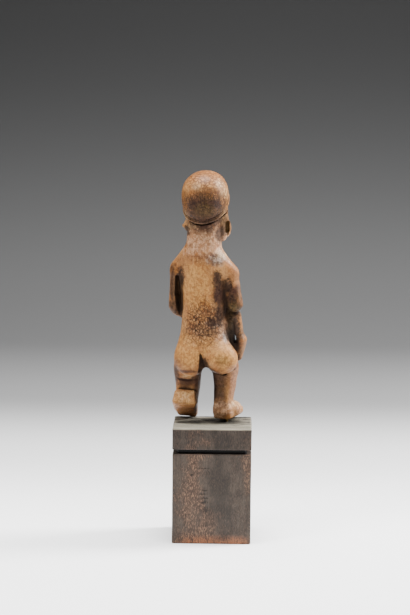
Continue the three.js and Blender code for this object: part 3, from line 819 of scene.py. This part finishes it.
class Relief(Nodes):
    """A Geometry Nodes tree that moves a mesh's points along its normals."""

    def __init__(self, name, inputs):
        super().__init__(bpy.data.node_groups.new(name, "GeometryNodeTree"))
        face = self.tree.interface
        for way in ("INPUT", "OUTPUT"):
            face.new_socket("Geometry", in_out=way, socket_type="NodeSocketGeometry")
        self.inputs = {}
        for key, value in inputs.items():
            kind = "NodeSocketMaterial" if key == "Finish" else "NodeSocketFloat"
            socket = face.new_socket(key, in_out="INPUT", socket_type=kind)
            self.inputs[socket.identifier] = value
        self.group_in = self.node("NodeGroupInput")

    def value(self, key):
        return Amount(self, self.group_in.outputs[key])

    def place(self, stretch=(1, 1, 1)):
        """Position in millimetres, stretched, for a pattern to read."""
        position = self.add("GeometryNodeInputPosition")
        return self.vector("MULTIPLY", position, tuple(s / MM for s in stretch))

    def noise(self, name, stretch=(1, 1, 1), detail=2.0):
        """Noise about zero, of the size that an input gives."""
        scale = 1.0 / self.value(name + " Size")
        sockets = {"Vector": self.place(stretch), "Scale": scale, "Detail": detail}
        return self.add("ShaderNodeTexNoise", sockets=sockets) - 0.5

    def uneven(self, name, stretch=(1, 1, 1), detail=2.0):
        return self.noise(name, stretch, detail) * self.value(name + " Depth")

    def close(self, rise):
        """Moves the points by rise millimetres along their normals and ends the tree."""
        offset = self.add("ShaderNodeVectorMath", {"operation": "SCALE"}, {
            0: self.add("GeometryNodeInputNormal"), "Scale": rise * MM})
        moved = self.add("GeometryNodeSetPosition", sockets={
            "Geometry": self.value("Geometry"), "Offset": offset})
        real = self.add("GeometryNodeRealizeInstances", sockets={"Geometry": moved})
        done = self.add("GeometryNodeSetMaterial", sockets={
            "Geometry": real, "Material": self.value("Finish")})
        self.node("NodeGroupOutput", sockets={"Geometry": done})

    def apply_to(self, piece):
        """Runs the tree on a piece and keeps the result as the piece's plain mesh."""
        modifier = piece.modifiers.new(self.tree.name, "NODES")
        modifier.node_group = self.tree
        for identifier, value in self.inputs.items():
            modifier[identifier] = value
        piece.update_tag()
        evaluated = piece.evaluated_get(bpy.context.evaluated_depsgraph_get())
        mesh = bpy.data.meshes.new_from_object(evaluated)
        piece.modifiers.remove(modifier)
        piece.data = mesh
        piece.data.name = piece.name


def knife_relief(finish):
    """Shallow knife facets, taller than wide, over slow unevenness of the hand."""
    relief = Relief("knife_relief", {
        "Facet Size": 4.2, "Facet Depth": 0.16, "Wave Size": 11.0, "Wave Depth": 0.5,
        "Fibre Size": 0.7, "Fibre Depth": 0.05, "Finish": finish})
    scale = 1.0 / relief.value("Facet Size")
    facets = relief.add("ShaderNodeTexVoronoi", {"feature": "SMOOTH_F1"}, {
        "Vector": relief.place((1, 1, 0.6)), "Scale": scale, "Smoothness": 0.15})
    scallop = (facets - 0.45) * relief.value("Facet Depth")
    relief.close(scallop + relief.uneven("Wave", (1, 1, 0.7)) + relief.uneven("Fibre", (1, 1, 0.12)))
    return relief


def sawn_relief(finish):
    """Long upright fibres of a sawn block, uneven and a little dented, but flat where it stands."""
    relief = Relief("sawn_relief", {
        "Fibre Size": 1.1, "Fibre Depth": 0.16, "Wave Size": 17.0, "Wave Depth": 0.3,
        "Dent Size": 3.4, "Dent Depth": 0.5, "Finish": finish})
    dent = (0.2 - relief.noise("Dent", detail=0.0)).least(0.0)
    rise = relief.uneven("Fibre", (1, 1, 0.05), 3.0) + relief.uneven("Wave")
    rise = rise + dent * relief.value("Dent Depth")
    above_floor = (relief.axis(relief.place(), "Z") * 2.0).least(1.0)
    relief.close(rise * above_floor)
    return relief


# Finishes: procedural materials

DEEPER, BRIGHTER = 1.14, 0.6


def tone(red, green, blue):
    """A colour read 0 to 255, as a shader's colour, deeper because the lights wash it out."""
    def linear(v):
        v /= 255
        v = v / 12.92 if v <= 0.04045 else ((v + 0.055) / 1.055) ** 2.4
        return BRIGHTER * v ** DEEPER
    return (linear(red), linear(green), linear(blue), 1.0)


class Finish(Nodes):
    """One material. Its colour is laid on in coats, the first over everything."""

    def __init__(self, name, origin=(0, 0, 0)):
        self.material = bpy.data.materials.new(name)
        self.material.use_nodes = True
        super().__init__(self.material.node_tree)
        self.tree.nodes.clear()
        self.shader = self.node("ShaderNodeBsdfPrincipled")
        surface = Amount(self, self.shader.outputs["BSDF"])
        self.node("ShaderNodeOutputMaterial", sockets={"Surface": surface})
        coordinates = self.add("ShaderNodeTexCoord", output="Object")
        self.place = self.vector("MULTIPLY_ADD", coordinates, (1 / MM,) * 3, tuple(-v for v in origin))
        self.colour = None

    def set(self, **values):
        for key, value in values.items():
            self.put(self.shader.inputs[key.replace("_", " ")], value)

    def attribute(self, name):
        return self.add("ShaderNodeAttribute", {"attribute_name": name}, output="Fac")

    def stretched(self, size, offset, along, across=1):
        """The place for a pattern of a size; along and across below 1 draw it out in z and x."""
        return self.vector("MULTIPLY_ADD", self.place, (across / size, 1 / size, along / size), offset)

    def noise(self, size, offset=(0, 0, 0), detail=2, roughness=0.5, along=1, across=1):
        return self.add("ShaderNodeTexNoise", sockets={
            "Vector": self.stretched(size, offset, along, across), "Scale": 1.0,
            "Detail": detail, "Roughness": roughness})

    def net(self, size, offset, bend, along=1):
        """How far a point lies from the edges of bent cells, in cells."""
        place = self.vector("ADD", self.stretched(size, offset, along), bend * 1.2)
        return self.add("ShaderNodeTexVoronoi", {"feature": "DISTANCE_TO_EDGE"}, {
            "Vector": place, "Scale": 1.0})

    def band(self, value, low, high, bottom=0.0, top=1.0):
        """Value taken smoothly from bottom at low to top at high."""
        return self.add("ShaderNodeMapRange", {"interpolation_type": "SMOOTHSTEP"}, {
            "Value": value, "From Min": low, "From Max": high, "To Min": bottom, "To Max": top})

    def patch(self, middle, radii, edge=0.25, ragged=None, rag=0.0):
        """1 within an ellipsoid in the frame, in millimetres, fading over its edge."""
        away = self.vector("SUBTRACT", self.place, middle)
        reach = self.vector("LENGTH", self.vector("DIVIDE", away, radii), output="Value")
        if ragged is not None:
            reach = reach + (ragged - 0.5) * (3 * rag)
        return self.band(reach, 1 + edge, 1 - edge)

    def patches(self, places, edge, ragged, rag):
        """1 within any of some ellipsoids, each a row of its middle and its radii."""
        found = [self.patch(place[:3], place[3:], edge, ragged, rag) for place in places]
        return reduce(Amount.most, found)

    def mix(self, share, under, over):
        return self.add("ShaderNodeMix", {"data_type": "RGBA", "blend_type": "MIX"}, {
            0: share, 6: under, 7: over}, output=2)

    def two_tones(self, share, dark, light):
        return self.mix(share, tone(*dark), tone(*light))

    def lay(self, mask, over):
        """Lays a coat over the colour so far: a mask and either one tone or a mix of two."""
        over = over if isinstance(over, Amount) else tone(*over)
        self.colour = self.mix(mask, self.colour, over)

    def bump(self, height, distance):
        self.set(Normal=self.add("ShaderNodeBump", sockets={
            "Strength": 1.0, "Distance": distance * MM, "Height": height}))


# Coats on the carving, in the order of laying: mostly patina, with painted highlights, sheen and shade
# among them, as marked. Each names its two tones, how strongly it covers, how wide and how ragged its
# edges are, which noise tears them and which one mixes the tones between two levels. A place is a middle
# and three radii, in millimetres, in axes that stand on the frame's but move with the figure.
TAN = dict(strength=0.85, tones=((154, 102, 62), (196, 142, 92)), places=(
    (6, -2, 237, 19, 22, 14),
))
PINK = dict(strength=0.85, tones=((190, 142, 108), (236, 194, 158)), places=(
    (4, 10, 192, 22, 12, 12), (-8, 8, 133, 7, 12, 10), (-16, -7, 85, 9, 13, 6), (-8, 8, 184, 6, 8, 5),
    (-5, 5, 83, 8, 8, 6),
))
# Golden wood; its patch on the left heel (17, 12, 92) is also a painted highlight on the heel's top.
GOLD = dict(strength=0.8, tones=((186, 134, 78), (218, 168, 104)), places=(
    (10, 10, 160, 9, 8, 20), (17, 12, 92, 11, 8, 8), (17, 12, 121, 9, 10, 13),
    (-8, 14, 119, 10, 10, 9), (5, 11, 128, 5, 8, 8),
))
AMBER = dict(strength=0.75, tones=((120, 76, 38), (190, 130, 62)), edge=0.4, rag=1.0, places=(
    (19.4, 4, 215, 5, 14, 9), (2, 16, 222, 7, 6, 3.6), (-7.5, 9, 211, 4.5, 10, 14),
    (24, 2, 171, 4, 8, 6), (6, 10, 150, 4, 8, 5),
))
# Russet patina; its patch under the left sole (17, -7, 80) is painted shade on the raised foot's
# underside.
RUSSET = dict(strength=0.55, tones=((112, 72, 50), (168, 118, 82)), edge=0.5, rag=1.0, places=(
    (6, 10, 138, 12, 10, 11), (17, 5, 104, 12, 9, 5), (-7, 6, 106, 8, 8, 6), (-13, 4, 168, 5, 8, 8),
    (9, 12, 180, 16, 8, 3), (22, 6, 110, 4, 9, 6), (15.5, 11, 188, 2, 5, 1.6), (22, 6, 177, 4, 8, 6),
    (17, 8, 107, 10, 9, 3.4), (17, 8, 107.5, 9, 9, 2), (17, -7, 80, 15, 18, 8), (4, -10, 190, 8, 7, 5),
    (0, -15, 140, 9, 8, 8), (13, -10, 112, 6, 8, 10), (-8, -8, 108, 6, 8, 8),
))
# Painted sheen: grey reflections painted over dark patches on the upper and lower back.
PAINTED_SHEEN = dict(strength=0.82, tones=((92, 82, 76), (178, 164, 152)), edge=0.4, rag=0.6, places=(
    (-2, 10, 179.5, 6, 8, 4), (-9, 8, 131, 3, 8, 4), (0, 9, 138, 5, 8, 2.5),
))
ASHEN = dict(strength=0.6, tones=((98, 80, 62), (156, 126, 100)), edge=0.4, rag=0.7, places=(
    (6, 8, 133.5, 11, 8, 3.6), (-4, 8, 145, 4, 8, 8), (-4, 5, 86, 6, 8, 7), (-3, 5, 80, 8, 9, 4),
))
# Painted highlights: pale spots for light glinting on the cap, its rolls, right shoulder, ankle, knot and
# left heel.
PAINTED_HIGHLIGHTS = dict(strength=0.6, tones=((206, 162, 112), (240, 206, 160)), edge=0.6, rag=0.6, places=(
    (17, 12, 93, 9, 9, 6), (11, 13, 226, 3.2, 6, 2.6), (-3.5, 11, 227.5, 4.2, 6, 3.2),
    (-7, 8, 183, 4, 8, 3), (-14, 0, 86, 5, 9, 3), (16, 8, 103.6, 3.8, 9, 1.5), (14, 8, 201, 6, 9, 2),
    (18.6, 8, 206.5, 2.2, 8, 5), (-6, 9, 206.5, 2.4, 8, 5), (-6.5, 9, 222, 3.6, 8, 3.4),
))
# Umber patina; its patch behind the right ear's lower end (-4, 8, 196) is painted shade.
UMBER = dict(strength=0.92, tones=((42, 29, 22), (110, 83, 64)), edge=0.45, rag=0.6,
             mixed="blot", mix=(0.38, 0.66), places=(
    (6, 18, 209, 14, 26, 13.8), (-3.8, 8, 157, 4.6, 8, 9), (25, 0, 148, 5, 10, 6),
    (26.6, 0, 161, 2.2, 10, 14), (-13, 5, 150.5, 6.5, 8, 8.5), (0.8, 9, 139, 2.8, 6, 3.6),
    (-4, 8, 196, 3.4, 6, 6), (-17, -5, 126, 3, 8, 12), (-4, 8, 145, 3, 8, 8),
    (-12.5, 5, 157, 4.6, 8, 5), (24, 2, 105, 2.4, 8, 7), (9, -17, 221, 8, 8, 4), (3, -9, 106, 5, 9, 7),
    (-14, -24, 80, 9, 6, 3), (19, -22, 79, 8, 5, 3),
))
PLUM = dict(strength=0.82, tones=((54, 36, 33), (100, 71, 60)), edge=0.6, rag=0.7,
            mix=(0.38, 0.66), places=(
    (5, 18, 203, 11, 8, 5), (12, 17, 215, 4, 8, 5), (-1, 17, 215, 5, 8, 2.6),
    (-13, 5, 160.5, 4.6, 8, 3), (17, 3, 99.6, 10, 10, 3), (17, 9, 107.6, 7, 9, 1.1),
    (-3, 8, 157, 3, 8, 5),
))
# Sooty patina; its patches in the crotch (6, 12, 112), under the left ear (18, 2, 197.5) and atop the
# left arm's hollow (20.8, 2, 167.5) are painted shade.
SOOT_AND_SHADE = dict(strength=0.92, tones=((34, 26, 22), (92, 72, 58)), edge=0.4, rag=0.7,
            torn="cloud", mix=(0.4, 0.68), places=(
    (-2, 10, 166.5, 3.2, 7, 6), (-9, 6, 163, 3, 8, 4.5), (-12.8, 0, 134, 4.2, 12, 14),
    (-12, 5, 154, 4.2, 8, 3), (6, 12, 112, 3, 8, 5), (18, 2, 197.5, 2.8, 8, 3),
    (20.8, 2, 167.5, 2.6, 8, 6), (-12, 5, 146.5, 5.5, 8, 5),
))
OLIVE = dict(strength=0.5, tones=((84, 68, 38), (142, 118, 70)), edge=0.6, rag=0.8, torn="cloud", places=(
    (-6, 15, 115.5, 4.5, 6, 3.2), (-12, 6, 149, 4, 8, 3), (6.5, 18, 211, 6.5, 8, 4.8),
))
EARTH = dict(strength=0.7, tones=((54, 41, 25), (108, 86, 60)), edge=0.6, rag=0.6, torn="cloud", places=(
    (-10.8, 2, 140, 2.0, 8, 10), (-8.4, 4, 200, 2.8, 8, 5),
))


def carved_wood():
    f = Finish("carved_wood", (0, STANCE["at"][1], 0))
    slow = f.noise(11, (3, 1, 7))
    mottle = f.noise(4.2, (11, 4, 2), 6, 0.7)
    cloud = f.noise(2.4, (1, 8, 5), 6, 0.7)
    speck = f.noise(1.0, (6, 2, 9), 4, 0.7)
    dust = f.noise(1.8, (9, 9, 4), 5, 0.7, along=0.8)
    blot = f.noise(2.0, (4, 7, 1), 5, 0.7)
    grain = f.noise(0.8, (2, 5, 1), 4, 0.65, along=0.16)
    noises = dict(mottle=mottle, cloud=cloud, blot=blot)
    crevice, ridge, leftward, scored = map(f.attribute, ("crevice", "ridge", "leftward", "scored"))

    def stain(mask, strength, tones, mix=(0.42, 0.6), noise=cloud):
        """Lays a mix of two tones where the mask is."""
        f.lay(mask * strength, f.two_tones(f.band(noise, *mix), *tones))

    def patina(places, edge=0.2, rag=0.9, torn="mottle", mixed="cloud", **looks):
        stain(f.patches(places, edge, noises[torn], rag), noise=noises[mixed], **looks)

    f.colour = f.two_tones(f.band(slow, 0.4, 0.6), (184, 130, 80), (204, 154, 102))
    f.lay(f.band(mottle, 0.5, 0.62) * 0.6, (164, 108, 64))
    # These coats include painted sheen and painted highlights, and painted shade under the left sole.
    for coat in (TAN, PINK, GOLD, AMBER, RUSSET, PAINTED_SHEEN, ASHEN, PAINTED_HIGHLIGHTS):
        patina(**coat)

    # Pale dust, dark blots and specks, thickest over the hips.
    hips = f.patch((7, 10, 138), (14, 12, 14), 0.5, mottle, 1.0)
    f.lay(f.band(dust, 0.5, 0.34) * (hips * 0.3 + 0.25), (226, 182, 134))
    f.lay(f.band(blot, 0.5, 0.66) * (hips * 0.4 + 0.35), (122, 82, 54))
    f.lay(f.band(speck, 0.53, 0.68) * (hips * 0.4 + 0.45), (98, 64, 44))

    # The planes that face the light on the legs are pale, the others dark.
    turned = leftward + (mottle - 0.5) * 1.1
    right_leg = f.patch((-6, 2, 104), (14, 14, 17), 0.2, mottle, 0.3)
    left_leg = f.patch((17, -3, 98), (14, 14, 24), 0.2)
    stain(right_leg * f.band(turned, -0.25, -0.8), 0.75, ((122, 84, 64), (172, 130, 102)))
    shaded = (right_leg * f.band(turned, -0.75, 0.5)).most(left_leg * f.band(leftward, -0.2, -0.6))
    stain(shaded, 0.88, ((44, 31, 24), (106, 81, 66)), (0.38, 0.66), blot)
    stain(right_leg * f.band(leftward, 0.1, 0.55), 0.8, ((34, 25, 20), (68, 49, 38)))

    # These coats include painted shade behind the right ear, under the left ear, in the crotch and in the
    # arm's hollow.
    for coat in (UMBER, PLUM, SOOT_AND_SHADE, OLIVE):
        patina(**coat)

    # Crackle: a fine net nearly all over, a web on the low back, a coarse rusty net on the crown.
    nape = f.patches(((5, 8, 192, 20, 14, 14), (6, 4, 228, 18, 20, 14)), 0.4, mottle, 0.9)
    cap_back = f.patch((6, 6, 212), (20, 22, 13), 0.2)
    net = f.net(1.8, (3, 3, 3), cloud, along=0.75)
    cracked = hips * 0.9 + nape * 0.2 + cap_back * 0.65 + 0.12
    crackle = f.band(net, 0.13, 0.02) * f.band(mottle, 0.36, 0.52) * cracked
    f.lay(crackle, (52, 35, 27))
    low_back = f.patch((5.5, 9, 139.5), (9, 8, 8), 0.5, mottle, 0.8)
    f.lay(f.band(net, 0.26, 0.05) * f.band(cloud, 0.4, 0.55) * low_back * 0.65, (66, 46, 36))
    crown = f.patch((5, 8, 230), (14, 16, 9), 0.4)
    f.lay(f.band(f.net(2.4, (7, 1, 4), mottle), 0.18, 0.03) * crown * 0.75, (108, 68, 38))
    f.lay(f.band(grain, 0.5, 0.64) * 0.4, (112, 74, 48))

    # Rubbed edges; darker in the hollows by how closed in each point is, partly dirt and partly painted
    # shade; dirt in the cuts.
    f.lay(f.band(ridge, 0.4, 0.9) * 0.12, (220, 176, 130))
    f.lay(f.band(crevice + (cloud - 0.5) * 0.3, 0.27, 0.68) * 0.9, (48, 36, 29))
    f.lay(scored * f.band(cloud, 0.35, 0.5, 0.5, 0.85), (46, 32, 24))
    patina(**EARTH)
    ear_hollow = f.patch((-8.4, 4, 200), (3.2, 8, 5.5), 0.4)
    f.lay(ear_hollow * f.band(crevice, 0.3, 0.7) * 0.6, (106, 80, 46))

    polished = ((6, 0, 236, 18, 20, 15), (-4, 8, 186, 12, 12, 14), (-10, 6, 130, 9, 14, 10))
    f.set(
        Base_Color=f.colour,
        Roughness=f.band(cloud, 0.3, 0.7, 0.4, 0.55) + f.band(crevice, 0.15, 0.5) * 0.3,
        Specular_IOR_Level=0.08, Coat_Roughness=0.3,
        Coat_Weight=f.patches(polished, 0.5, mottle, 0.5) * 0.14,
    )
    f.bump(grain * 0.5 + speck * 0.7 + cloud * 0.6 - crackle * 0.5, 0.28)
    return f.material


# Short dark nicks across the plinth's fibres, and where its stain has worn through, in millimetres
# in the frame.
NICKS = (
    (5.6, 26, 48.6, 3.4, 3, 0.4), (4.6, 26, 34.4, 1.8, 3, 0.5), (5.6, 26, 32.0, 2.8, 3, 0.5),
    (4.4, 26, 29.4, 2.2, 3, 0.6), (4.8, 26, 26.8, 2.4, 3, 1.0), (12.6, 26, 44.4, 1.8, 3, 0.7),
    (4.2, 26, 22.0, 1.6, 3, 1.6),
)
WORN_SPOTS = (
    (2, 26, 10, 9, 8, 9), (6, 26, 56, 5, 6, 2.5), (-23, 26, 50, 3, 8, 14),
    (5, 26, 65, 6, 6, 3), (-18, -26, 20, 10, 8, 18), (26, -8, 22, 8, 12, 18),
)


def stained_wood():
    f = Finish("stained_wood")
    pores = f.noise(0.32, (4, 2, 0), 4, 0.7, along=0.2)
    fibre = f.noise(1.3, (7, 3, 5), 4, 0.65, along=0.06)
    cloud = f.noise(8, (2, 9, 4), 4, 0.6, along=0.7)
    speck = f.noise(0.6, (5, 5, 1), 5, 0.75, along=0.3)
    scuff = f.noise(3.0, (8, 1, 2), 4, across=0.25)
    x, y, height = (f.axis(f.place, name) for name in "XYZ")

    f.colour = f.two_tones(f.band(cloud, 0.38, 0.62), (74, 66, 60), (94, 85, 77))
    f.lay(f.band(fibre, 0.42, 0.68) * 0.5, (60, 52, 47))
    f.lay(f.band(pores, 0.5, 0.66) * 0.55, (116, 101, 88))

    # The stain has worn through in streaks, most to one side and along the bottom edge.
    streak = f.patch((12, 26, 26), (7, 8, 32), 0.6, cloud, 1.4)
    worn = streak.most(f.patches(WORN_SPOTS, 0.6, cloud, 1.2))
    worn = worn.most(f.band(height, 4.0, 0.8) * f.band(cloud, 0.3, 0.55))
    f.lay(worn * 0.35, (96, 74, 60))
    bare = f.two_tones(f.band(speck, 0.42, 0.6), (130, 98, 78), (182, 146, 120))
    f.lay((worn * 0.55 + 0.12) * f.band(pores * 0.5 + speck * 0.5, 0.46, 0.6), bare)
    foot = f.band(height, 7.0, 0.5) * f.band(x, 24, 12) * f.band(x, -26, -18)
    f.lay(foot * f.band(speck + (cloud - 0.5) * 0.5, 0.35, 0.6) * 0.8, (200, 134, 94))
    f.lay(f.band(pores, 0.45, 0.32) * 0.7, (40, 34, 30))
    f.lay(f.patch((-5, 26, 32), (8, 6, 34), 0.4, cloud, 0.8) * 0.5, (62, 57, 52))
    f.lay(f.patches(NICKS, 0.6, speck, 1.2) * 0.7, (38, 32, 28))
    groove_top = PLINTH_HEIGHT - SLAB_HEIGHT
    f.lay(f.band(height, groove_top - 1.4, groove_top + 0.6) * 0.3, (44, 38, 34))

    # The top is scuffed grey, with painted shadows round the feet and a painted pale reflection towards
    # its edge on the figure's back side.
    top = f.band(height, PLINTH_HEIGHT - 1.0, PLINTH_HEIGHT - 0.3)
    f.lay(top * 0.85, f.two_tones(f.band(scuff, 0.4, 0.58), (70, 67, 62), (160, 154, 140)))
    right_shadow = f.patch((-7, 0, PLINTH_HEIGHT), (14, 13, 4), 0.5, cloud, 0.6)
    left_shadow = f.patch((11, -4, PLINTH_HEIGHT), (10, 10, 4), 0.5, cloud, 0.9)
    f.lay(top * right_shadow.most(left_shadow) * 0.6, (36, 33, 30))
    f.lay(top * f.band(y + (cloud - 0.5) * 16, 0, 14) * 0.75, (150, 145, 130))
    outward = x.most(0 - x).most(y.most(0 - y))
    at_edge = f.band(outward + cloud * 3, SLAB_SIDE / 2, SLAB_SIDE / 2 + 2)
    # The top's lip is pale, partly worn and partly a painted reflection, paler towards the figure's back
    # side.
    lip = f.band(height, PLINTH_HEIGHT - 1.3, PLINTH_HEIGHT - 0.7) * at_edge
    f.lay(lip * f.band(y, -20, 16, 0.2, 0.6), (180, 170, 152))

    # The groove's recessed core is painted near black: painted shade under the slab.
    core = SLAB_SIDE / 2 - GROOVE_DEPTH + 0.5
    in_groove = f.band(height, groove_top + 0.2, groove_top - 0.1) * f.band(
        height, groove_top - GROOVE_HEIGHT - 0.2, groove_top - GROOVE_HEIGHT + 0.1)
    f.lay(in_groove * f.band(outward, core + 0.3, core), (16, 13, 12))

    f.set(
        Base_Color=f.colour,
        Roughness=f.band(cloud, 0.3, 0.7, 0.4, 0.56) + top * f.band(y, 8, 20, 0.25, -0.1),
        Specular_IOR_Level=0.1, Coat_Roughness=0.35,
        Coat_Weight=0.14 - top * f.band(y, 20, 8) * 0.14,
    )
    f.bump(fibre * 0.5 + pores * 0.7 + speck * 0.4, 0.25)
    return f.material


def pin_brass():
    f = Finish("pin_brass")
    dull = f.noise(1.2, detail=3, along=0.4)
    f.set(
        Base_Color=f.two_tones(f.band(dull, 0.4, 0.7), (206, 176, 112), (150, 118, 66)),
        Metallic=1.0, Roughness=f.band(dull, 0.3, 0.7, 0.28, 0.45),
    )
    f.bump(dull, 0.03)
    return f.material


# How bright the sweep is painted along itself, as painted shade where the light falls off: from, to,
# before and after, in millimetres.
SHADES = ((0, 300, 0.86, 0.5), (250, 600, 0.5, 0.16), (550, 1250, 0.16, 0.09), (1100, 1900, 0.09, 0.01))


def backdrop_paint():
    """A sweep that is white round the object and painted darker behind it, all the way up, and in front
    of it: painted shade where the light falls off.
    """
    f = Finish("backdrop_paint")
    y, z = (f.axis(f.place, name) for name in "YZ")
    along = (0 - y).most(0.0) + z
    level = f.band(along, *SHADES[0])
    for start, end, before, after in SHADES[1:]:
        level = level * f.band(along, start, end, 1.0, after / before)
    level = level * f.band(y, 200, 420, 1.0, 0.25)
    f.set(Base_Color=f.mix(level, (0, 0, 0, 1), (1, 1, 1, 1)), Roughness=0.85)
    return f.material


# The stage

SWEEP = dict(front=1.6, back=-1.45, top=1.6, half_width=3.0, curve=0.45)


def make_backdrop():
    """A floor that curves up into a wall behind the object."""
    curve = SWEEP["curve"]
    profile = [(SWEEP["front"], 0.0), (0.3, 0.0)]
    for i in range(25):
        a = i / 24 * pi / 2
        profile.append((SWEEP["back"] + curve - curve * sin(a), curve - curve * cos(a)))
    profile.append((SWEEP["back"], SWEEP["top"]))
    w = SWEEP["half_width"]
    vertices = [(x, y, z) for y, z in profile for x in (-w, w)]
    faces = [(2 * i, 2 * i + 1, 2 * i + 3, 2 * i + 2) for i in range(len(profile) - 1)]
    sweep = new_piece("backdrop", vertices, faces)
    smooth(sweep)
    return sweep


# Places in metres, powers in watts.
SOFTBOXES = (
    dict(name="key_right", at=(-0.96, -0.28, 0.8), size=(0.4, 0.8), power=52),
    dict(name="left_front", at=(0.72, 0.53, 0.95), size=(0.4, 0.5), power=11),
    dict(name="behind_camera", at=(-0.2, 1.3, 1.0), size=(1.2, 0.8), power=5),
    dict(name="overhead", at=(0, 0.05, 1.25), size=(0.7, 0.7), power=50, aim=(0, 0, 0)),
)


def softbox(name, at, size, power, aim=(0, 0, 0.14)):
    light = bpy.data.lights.new(name, "AREA")
    light.shape = "RECTANGLE"
    light.size, light.size_y = size
    light.energy = power
    lamp = bpy.data.objects.new(name, light)
    lamp.location = at
    lamp.rotation_euler = (Vector(aim) - Vector(at)).to_track_quat("-Z", "Y").to_euler()
    bpy.context.scene.collection.objects.link(lamp)


# The camera stands where the photograph's did: behind the figure, looking a little down.
PHOTO_HEIGHT = 615
FOCAL_PIXELS = 1904
CAMERA = dict(at=(-0.00555, -1.212, 0.2725), yaw=0.935, pitch=5.85, roll=0.515)


def make_camera():
    lens = bpy.data.cameras.new("photo_view")
    lens.sensor_fit = "VERTICAL"
    lens.sensor_height = 24
    lens.lens = lens.sensor_height * FOCAL_PIXELS / PHOTO_HEIGHT
    camera = bpy.data.objects.new("photo_view", lens)
    yaw = Matrix.Rotation(pi + radians(CAMERA["yaw"]), 4, "Z")
    pitch = Matrix.Rotation(pi / 2 - radians(CAMERA["pitch"]), 4, "X")
    roll = Matrix.Rotation(radians(CAMERA["roll"]), 4, "Z")
    camera.matrix_world = yaw @ Matrix.Translation(CAMERA["at"]) @ pitch @ roll
    bpy.context.scene.collection.objects.link(camera)
    bpy.context.scene.camera = camera


# Building

figure = make_figure()
knife_relief(carved_wood()).apply_to(figure)
plinth = make_plinth()
sawn_relief(stained_wood()).apply_to(plinth)
for piece, node, finish in ((figure, "figure", "carved_wood"), (plinth, "plinth", "stained_wood")):
    smooth(piece)
    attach(piece, ROOT)
    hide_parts(node)

pin_mesh = frame["nodes"]["mounting_pin"].data
pin_mesh.materials.clear()
pin_mesh.materials.append(pin_brass())

backdrop = make_backdrop()
backdrop.data.materials.append(backdrop_paint())

for lamp in SOFTBOXES:
    softbox(**lamp)

world = bpy.data.worlds.new("room")
world.use_nodes = True
room_light = world.node_tree.nodes["Background"].inputs
room_light["Color"].default_value = (0.9, 0.95, 1.0, 1)
room_light["Strength"].default_value = 0.12
bpy.context.scene.world = world

make_camera()
